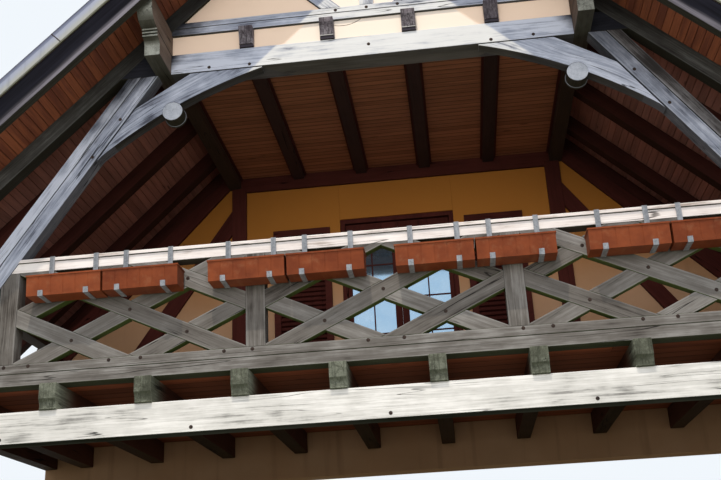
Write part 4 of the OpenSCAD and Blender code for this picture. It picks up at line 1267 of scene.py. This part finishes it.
def side_parapets():
    """Upright boards with cover strips along each side."""
    work = Joinery("side_parapets")
    low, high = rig.box("side_parapets")
    count = round((high.y - low.y) / PARAPET_BOARD)
    pitch = (high.y - low.y) / count

    def layer(side, outer, inner, y0, y1, z0, z1, along, ease):
        x0, x1 = sorted((side * (high.x - inner), side * (high.x - outer)))
        work.add(block((x0, y0, z0), (x1, y1, z1)), along=along, ease=ease)

    for side in (-1, 1):
        for k in range(count):
            y0 = low.y + k * pitch
            y1 = y0 + pitch
            spread = (y0 + PARAPET_GAP, y1 - PARAPET_GAP)
            layer(side, STRIP_DEPTH, BOARD_DEPTH, *spread, low.z, high.z, Z_AXIS, 0.003)
            strip_y = max(low.y, y0 - STRIP_HALF)
            layer(side, 0, STRIP_DEPTH, strip_y, strip_y + 2 * STRIP_HALF, low.z, high.z, Z_AXIS, 0.002)
        for z in (low.z + RAIL_UP, (low.z + high.z) / 2, high.z - RAIL_UP - RAIL_HIGH):
            layer(side, BOARD_DEPTH, RAIL_DEPTH, low.y, high.y, z, z + RAIL_HIGH, Y_AXIS, 0.002)
    work.place("side_parapet_boards", "dark_timber", ["inner_timber"], ["side_parapets"])


side_parapets()

# %% [markdown]
# The roof is covered with plain clay tiles with rounded tails, laid in double lap: each tile covers the
# joint below it and reaches over the tile two courses down. They hang on battens over counter-battens.
# One tile's outline is drawn once, and two loops lay it over both slopes.

# %% Tiles and battens
TILE_COLUMNS = 20
TILE_LENGTH = 0.38
TILE_THICK = 0.014
TILE_STEP = 0.150
TILE_SIDE_GAP = 0.002
TAIL_ROUND = 0.055
COUNTER_BATTEN = 0.030
BATTEN = 0.030
BATTEN_WIDE = 0.04
COUNTER_WIDE = 0.05
NIB = 0.03
HIGHEST_BATTEN = 0.07
FASCIA = 0.03
HEAD_RISE = BOARD + COUNTER_BATTEN + BATTEN
TAIL_LIFT = 0.0355
LIFT_PLAY = (-0.0008, 0.0012)
VERGE_TOP = 0.145
TILE_EAVES = SLOPE_LENGTH - VERGE_TOP * math.tan(PITCH)
TILE_TOP = 0.02
TILE_ROWS = int((TILE_EAVES - 0.2) / TILE_STEP) + 1
ARC_POINTS = 7


def tile_outline(length, left, right, rounded):
    """Tail at 0, head at the tile's length; (along, across) points."""
    points = [(-length, left), (-length, right)]
    middle = (left + right) / 2
    reach = (right - left) / 2
    count = ARC_POINTS if rounded else 2
    for k in range(count):
        turn = math.pi * k / (count - 1)
        back = TAIL_ROUND * (1 - math.sin(turn)) if rounded else 0
        points.append((-back, middle + reach * math.cos(turn)))
    return points


def lay_tile(work, side, tail, left, right, rounded):
    """One tile, its head on a batten and its tail on the tile below."""
    lift = TAIL_LIFT + work.random.uniform(*LIFT_PLAY)
    outline = tile_outline(min(TILE_LENGTH, tail - TILE_TOP), left, right, rounded)
    points = []
    for rise in (0, TILE_THICK):
        for back, across in outline:
            height = HEAD_RISE + lift * (1 + back / TILE_LENGTH) + rise
            points.append(on_slope(side, tail + back, across, height))
    down = on_slope(side, 1, 0, 0) - on_slope(side, 0, 0, 0)
    work.add((points, lids_and_sides(len(outline))), along=down, ease=0)


def tiled_slope(name, side):
    """All courses of one slope. Every second course is moved by half a tile."""
    work = Joinery(name)
    pitch = (REAR - COVER_FRONT) / TILE_COLUMNS
    for row in range(TILE_ROWS):
        tail = TILE_EAVES - row * TILE_STEP
        offset = 0.5 * (row % 2)
        for column in range(TILE_COLUMNS + row % 2):
            left = max(COVER_FRONT, COVER_FRONT + (column - offset) * pitch + TILE_SIDE_GAP / 2)
            right = min(REAR, COVER_FRONT + (column + 1 - offset) * pitch - TILE_SIDE_GAP / 2)
            lay_tile(work, side, tail, left, right, right - left > pitch * 0.6)
    work.place(name + "_tiles", "roof_tiles", ["roof_clay"], [name])


def battens(name, side):
    """Counter-battens down the slope, a batten under the head of each course, and a fascia at the eaves."""
    work = Joinery(name)
    low = BOARD + COUNTER_BATTEN
    across = (COVER_FRONT, REAR)
    for row in range(TILE_ROWS):
        foot = TILE_EAVES - row * TILE_STEP - TILE_LENGTH + NIB
        if foot > HIGHEST_BATTEN:
            spread = (foot - BATTEN_WIDE, foot)
            work.add(slope_block(side, spread, across, (low, low + BATTEN)), along=Y_AXIS, ease=0.001)
    for depth in (COVER_FRONT, *BUTT_JOINTS, REAR - COUNTER_WIDE):
        spread = (COUNTER_WIDE, TILE_EAVES - 0.01)
        work.add(slope_block(side, spread, (depth, depth + COUNTER_WIDE), (BOARD, low)), ease=0.001)
    fascia = slope_block(side, (TILE_EAVES - FASCIA, TILE_EAVES), across, (BOARD, HEAD_RISE + FASCIA / 2))
    work.add(fascia, along=Y_AXIS, ease=0.002)
    work.place(name + "_battens", "roof_tiles", ["bar_timber"])


for node, side in (("roof_covering_left", -1), ("roof_covering_right", 1)):
    tiled_slope(node, side)
    battens(node, side)

# %% [markdown]
# Ridge tiles are half pipes. Each has a collar at its front end, which slips over the narrow tail of the
# tile before it. They are made as shells with a real thickness: one outline of radii along the tile is
# turned about the ridge, outside and inside, and the ends are closed, so every end shows an edge.

# %% Ridge tiles
RIDGE_LOW, RIDGE_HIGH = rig.box("ridge_cap")
RIDGE_COLLAR = (RIDGE_HIGH.x - RIDGE_LOW.x) / 2
RIDGE_AXIS = RIDGE_HIGH.z - RIDGE_COLLAR
RIDGE_SHELL = 0.013
RIDGE_SHOWN = 0.36
RIDGE_PROFILE = ((0.0, 0.0), (0.046, 0.0), (0.050, 0.006), (0.36, 0.012), (0.402, 0.0135))
RIDGE_STEPS = 18
SHORTEST_RIDGE = 0.06
RIDGE_TURN = math.radians(192)


def ridge_tile(start):
    """One shell; RIDGE_PROFILE gives places along it and how far each lies inside the collar."""
    length = min(RIDGE_PROFILE[-1][0], RIDGE_HIGH.y - start)
    rings = [(along, inset) for along, inset in RIDGE_PROFILE if along < length]
    rings.append((length, RIDGE_PROFILE[-1][1]))
    points = []
    for shell in (0, RIDGE_SHELL):
        for along, inset in rings:
            radius = RIDGE_COLLAR - inset - shell
            for step in range(RIDGE_STEPS + 1):
                turn = math.pi / 2 + RIDGE_TURN * (step / RIDGE_STEPS - 0.5)
                up = RIDGE_AXIS + radius * math.sin(turn)
                points.append(Vector((radius * math.cos(turn), start + along, up)))
    row = RIDGE_STEPS + 1
    inner = len(rings) * row
    faces = []
    for ring in range(len(rings) - 1):
        for step in range(RIDGE_STEPS):
            corner = ring * row + step
            faces.append([corner, corner + 1, corner + 1 + row, corner + row])
            corner += inner
            faces.append([corner, corner + row, corner + 1 + row, corner + 1])
        for edge in (0, RIDGE_STEPS):
            corner = ring * row + edge
            faces.append([corner, corner + row, inner + corner + row, inner + corner])
    for ring in (0, len(rings) - 1):
        for step in range(RIDGE_STEPS):
            corner = ring * row + step
            faces.append([corner, inner + corner, inner + corner + 1, corner + 1])
    return points, faces


# The row of ridge tiles. A last piece shorter than its collar is left out.
work = Joinery("ridge_cap")
count = math.ceil((RIDGE_HIGH.y - RIDGE_LOW.y) / RIDGE_SHOWN)
for k in range(count):
    start = RIDGE_LOW.y + k * RIDGE_SHOWN
    if RIDGE_HIGH.y - start > SHORTEST_RIDGE:
        work.add(ridge_tile(start), along=Y_AXIS, ease=0)
work.place("ridge_tiles", "roof_tiles", ["roof_clay"], ["ridge_cap"])

# %% [markdown]
# The open ends of the ridge are filled with mortar. The fill is an outline of half a circle with a point
# below it, where the boards meet, drawn out a few centimetres deep.

# %% Mortar at the ends of the ridge
MORTAR_DEEP = 0.04
MORTAR_BACK = 0.012
MORTAR_GAP = 0.0005
MORTAR_ARC = 16

# The fill that closes each end of the ridge, from the pipe down to the top of the boards.
work = Joinery("ridge_mortar")
low = (0.0, RIDGE + BOARD / math.cos(PITCH) + MORTAR_GAP)
ends = ((RIDGE_LOW.y + MORTAR_BACK, 1, 0.0), (RIDGE_HIGH.y - MORTAR_BACK, -1, RIDGE_PROFILE[-1][1]))
for face, inward, inset in ends:
    radius = RIDGE_COLLAR - inset - RIDGE_SHELL - MORTAR_GAP
    turns = [math.pi * k / MORTAR_ARC for k in range(MORTAR_ARC + 1)]
    outline = [(radius * math.cos(turn), RIDGE_AXIS + radius * math.sin(turn)) for turn in turns] + [low]
    work.add(prism(outline, *sorted((face, face + inward * MORTAR_DEEP))), along=Y_AXIS, ease=0.002)
work.place("ridge_mortar", "roof_tiles", ["mortar"])

# %% [markdown]
# The verge strip is folded from sheet: a small hem stands in front at its foot and throws the drops off,
# the face rises from it, and above a ledge the sheet leans back under the tiles. It comes in lengths
# that overlap, so each joint shows a lap.

# %% Verge sheet
VERGE_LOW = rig.box("verge_strips")[0].y
SHEET = 0.003
HEM_REACH = 0.008
HEM_TURN = 0.012
LEDGE = 0.098
LEDGE_BACK = 0.016
VERGE_LAP = 0.04
VERGE_JOINTS = (0.0, 1.35, 3.25)
LAP_LIFT = 0.0008
SEAM = 0.008
SEAM_PROUD = 0.0006

# The folded strip down each verge.
work = Joinery("verge_strips")
face = VERGE_LOW + HEM_REACH
for side in (-1, 1):
    for start, stop in zip(VERGE_JOINTS, (*VERGE_JOINTS[1:], TILE_EAVES)):
        tone = work.random.random()
        reach = min(stop + VERGE_LAP, TILE_EAVES)
        lift = LAP_LIFT if start == VERGE_JOINTS[1] else 0
        along = (max(start, 0.001), reach)
        folds = [
            ((VERGE_LOW + lift, face + SHEET), (0.0, SHEET)),
            ((VERGE_LOW + lift, VERGE_LOW + SHEET), (0.0, HEM_TURN)),
            ((face - lift, face + SHEET), (0.0, LEDGE)),
            ((face - lift, face + LEDGE_BACK + SHEET), (LEDGE - SHEET, LEDGE)),
            ((face + LEDGE_BACK - lift, face + LEDGE_BACK + SHEET), (LEDGE - SHEET, VERGE_TOP)),
        ]
        for depth, rise in folds:
            work.add(slope_block(side, along, depth, rise, start == 0), ease=0.0008, tone=tone)
        for depth, rise in folds[2:] if reach < TILE_EAVES else ():
            seam = (reach, reach + SEAM)
            work.add(slope_block(side, seam, (depth[0] - SEAM_PROUD, depth[1]), rise), ease=0, part=1)
work.place("verge_sheets", "verge_sheet", ["verge_metal", "old_iron"], ["verge_strips"])

# %% [markdown]
# Bolts hold the frame together: dome-headed coach bolts on round washers. One bolt is turned from a short
# profile and set where two timbers cross. Their places are real sizes, and most are the same on both
# sides of the house, so only one side is listed.

# %% One bolt
BOLT_PROFILE = ((0.000, 0.0065), (0.004, 0.0058), (0.007, 0.0040), (0.008, 0.0018), (0.0145, 0.0014),
                (0.015, -0.004))
BOLT_SIDES = 14


def bolt(work, x, z, depth):
    """A bolt head whose washer lies on the plane at this depth, facing the street."""
    points = [Vector((x, depth - BOLT_PROFILE[0][1], z))]
    for radius, proud in BOLT_PROFILE[1:]:
        for k in range(BOLT_SIDES):
            turn = 2 * math.pi * k / BOLT_SIDES
            points.append(Vector((x + radius * math.cos(turn), depth - proud, z + radius * math.sin(turn))))
    faces = [[0, 1 + k, 1 + (k + 1) % BOLT_SIDES] for k in range(BOLT_SIDES)]
    for ring in range(len(BOLT_PROFILE) - 2):
        first = 1 + ring * BOLT_SIDES
        for k in range(BOLT_SIDES):
            near = first + (k + 1) % BOLT_SIDES
            faces.append([first + k, first + k + BOLT_SIDES, near + BOLT_SIDES, near])
    faces.append([len(points) - 1 - k for k in range(BOLT_SIDES)])
    work.add((points, faces), along=Y_AXIS, ease=0)


print("rings on a bolt head:", len(BOLT_PROFILE) - 1)

# %% Bolts of the front frame
SILL_BOLTS = (0.135, 1.015, 1.233, 1.882, 2.132, 2.771, 2.966)
COLLAR_BOLTS = ((0.0, 0.103), (1.02, 0.026), (1.37, 0.034))
BRACE_BOLTS = ((2.130, 2.670), (2.355, 2.340))
UPPER_SILL_BOLTS = (0.0, 0.267)
BEAM_BOLTS = (0.0, 1.48, 2.95)
SILL_BOLT_DOWN = 0.018
UPPER_BOLT_DOWN = 0.028
BEAM_BOLT_UP = 0.035

# All bolts. A place is a node, x and z; the bolt sits on the node's front face, on both sides.
work = Joinery("frame_bolts")
places = [("sill_plate", x, SILL_TOP - SILL_BOLT_DOWN) for x in SILL_BOLTS]
places += [("collar_beam", x, COLLAR + up) for x, up in COLLAR_BOLTS]
places += [("curved_braces", x, z) for x, z in BRACE_BOLTS]
upper_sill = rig.box("upper_sill_beam")[1].z
places += [("upper_sill_beam", x, upper_sill - UPPER_BOLT_DOWN) for x in UPPER_SILL_BOLTS]
places += [("lower_beam", x, BEAM_BOLT_UP) for x in BEAM_BOLTS]
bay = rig.box("lattice_right")[0].x + LATTICE_HALF
for middle in (0.0, bay):
    places.append(("lattice_middle", middle, LATTICE_Z))
    for across in (-0.5, 0.5):
        for up in (-LATTICE_RISE, LATTICE_RISE):
            if middle or across > 0:
                places.append(("lattice_middle", middle + across * LATTICE_HALF, LATTICE_Z + up))
for node, x, z in places:
    for side in (-1, 1) if x else (1,):
        bolt(work, side * x, z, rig.box(node)[0].y)
print("bolts:", len(work.points) // (1 + BOLT_SIDES * (len(BOLT_PROFILE) - 1)))
work.place("frame_bolts", "dark_timber", ["old_iron"])

# %% [markdown]
# The shutters are slatted leaves, folded back beside the door. The slats stand open in the CAD model, so
# a thin board closes each leaf at its back.

# %% Shutters
LEAF_HEIGHT = 1.0
LEAF_INSET = 0.02
LEAF_BOARD = (0.004, 0.001)

# The slatted leaves, each with a thin board at its back, so no wall shows between the slats.
work = Joinery("door_shutters")
for solid in cad_solids("door_shutters"):
    low, high = reach_of(solid[0])
    work.add(solid, along=X_AXIS, ease=0.002)
    if high.z - low.z > LEAF_HEIGHT:
        board_low = Vector((low.x + LEAF_INSET, high.y - LEAF_BOARD[0], low.z + LEAF_INSET))
        board_high = Vector((high.x - LEAF_INSET, high.y - LEAF_BOARD[1], high.z - LEAF_INSET))
        work.add(block(board_low, board_high), along=Z_AXIS, ease=0)
work.place("door_shutters_wood", "dark_timber", ["inner_timber"], ["door_shutters"])

# %% [markdown]
# Slim glazing bars divide each door leaf into two columns and four rows. They lie on the outside of the
# sealed unit, as they do on old joinery that was given new glass.

# %% Glazing bars
GLAZING_BAR = 0.014
GLAZING_PROUD = 0.010
GLAZING_STEP = 0.0005
GLAZING_ROWS = 4

# One upright bar and the cross bars of each leaf, the cross bars a hair lower than the upright.
work = Joinery("glazing_bars")
half = GLAZING_BAR / 2
for solid in cad_solids("door_glass"):
    low, high = reach_of(solid[0])
    front = low.y - GLAZING_PROUD
    middle = (low.x + high.x) / 2
    upright = block((middle - half, front, low.z), (middle + half, low.y, high.z))
    work.add(upright, along=Z_AXIS, ease=0.002)
    for row in range(1, GLAZING_ROWS):
        z = low.z + (high.z - low.z) * row / GLAZING_ROWS
        cross = block((low.x, front + GLAZING_STEP, z - half), (high.x, low.y, z + half))
        work.add(cross, along=X_AXIS, ease=0.002)
work.place("glazing_bars", "dark_timber", ["inner_timber"])

# %% Size of the finished model
json.dump({"cad": [list(corner) for corner in cad_box], "visual": [list(corner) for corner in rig.bounds()]},
          open("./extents.json", "w"))
print(open("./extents.json").read())
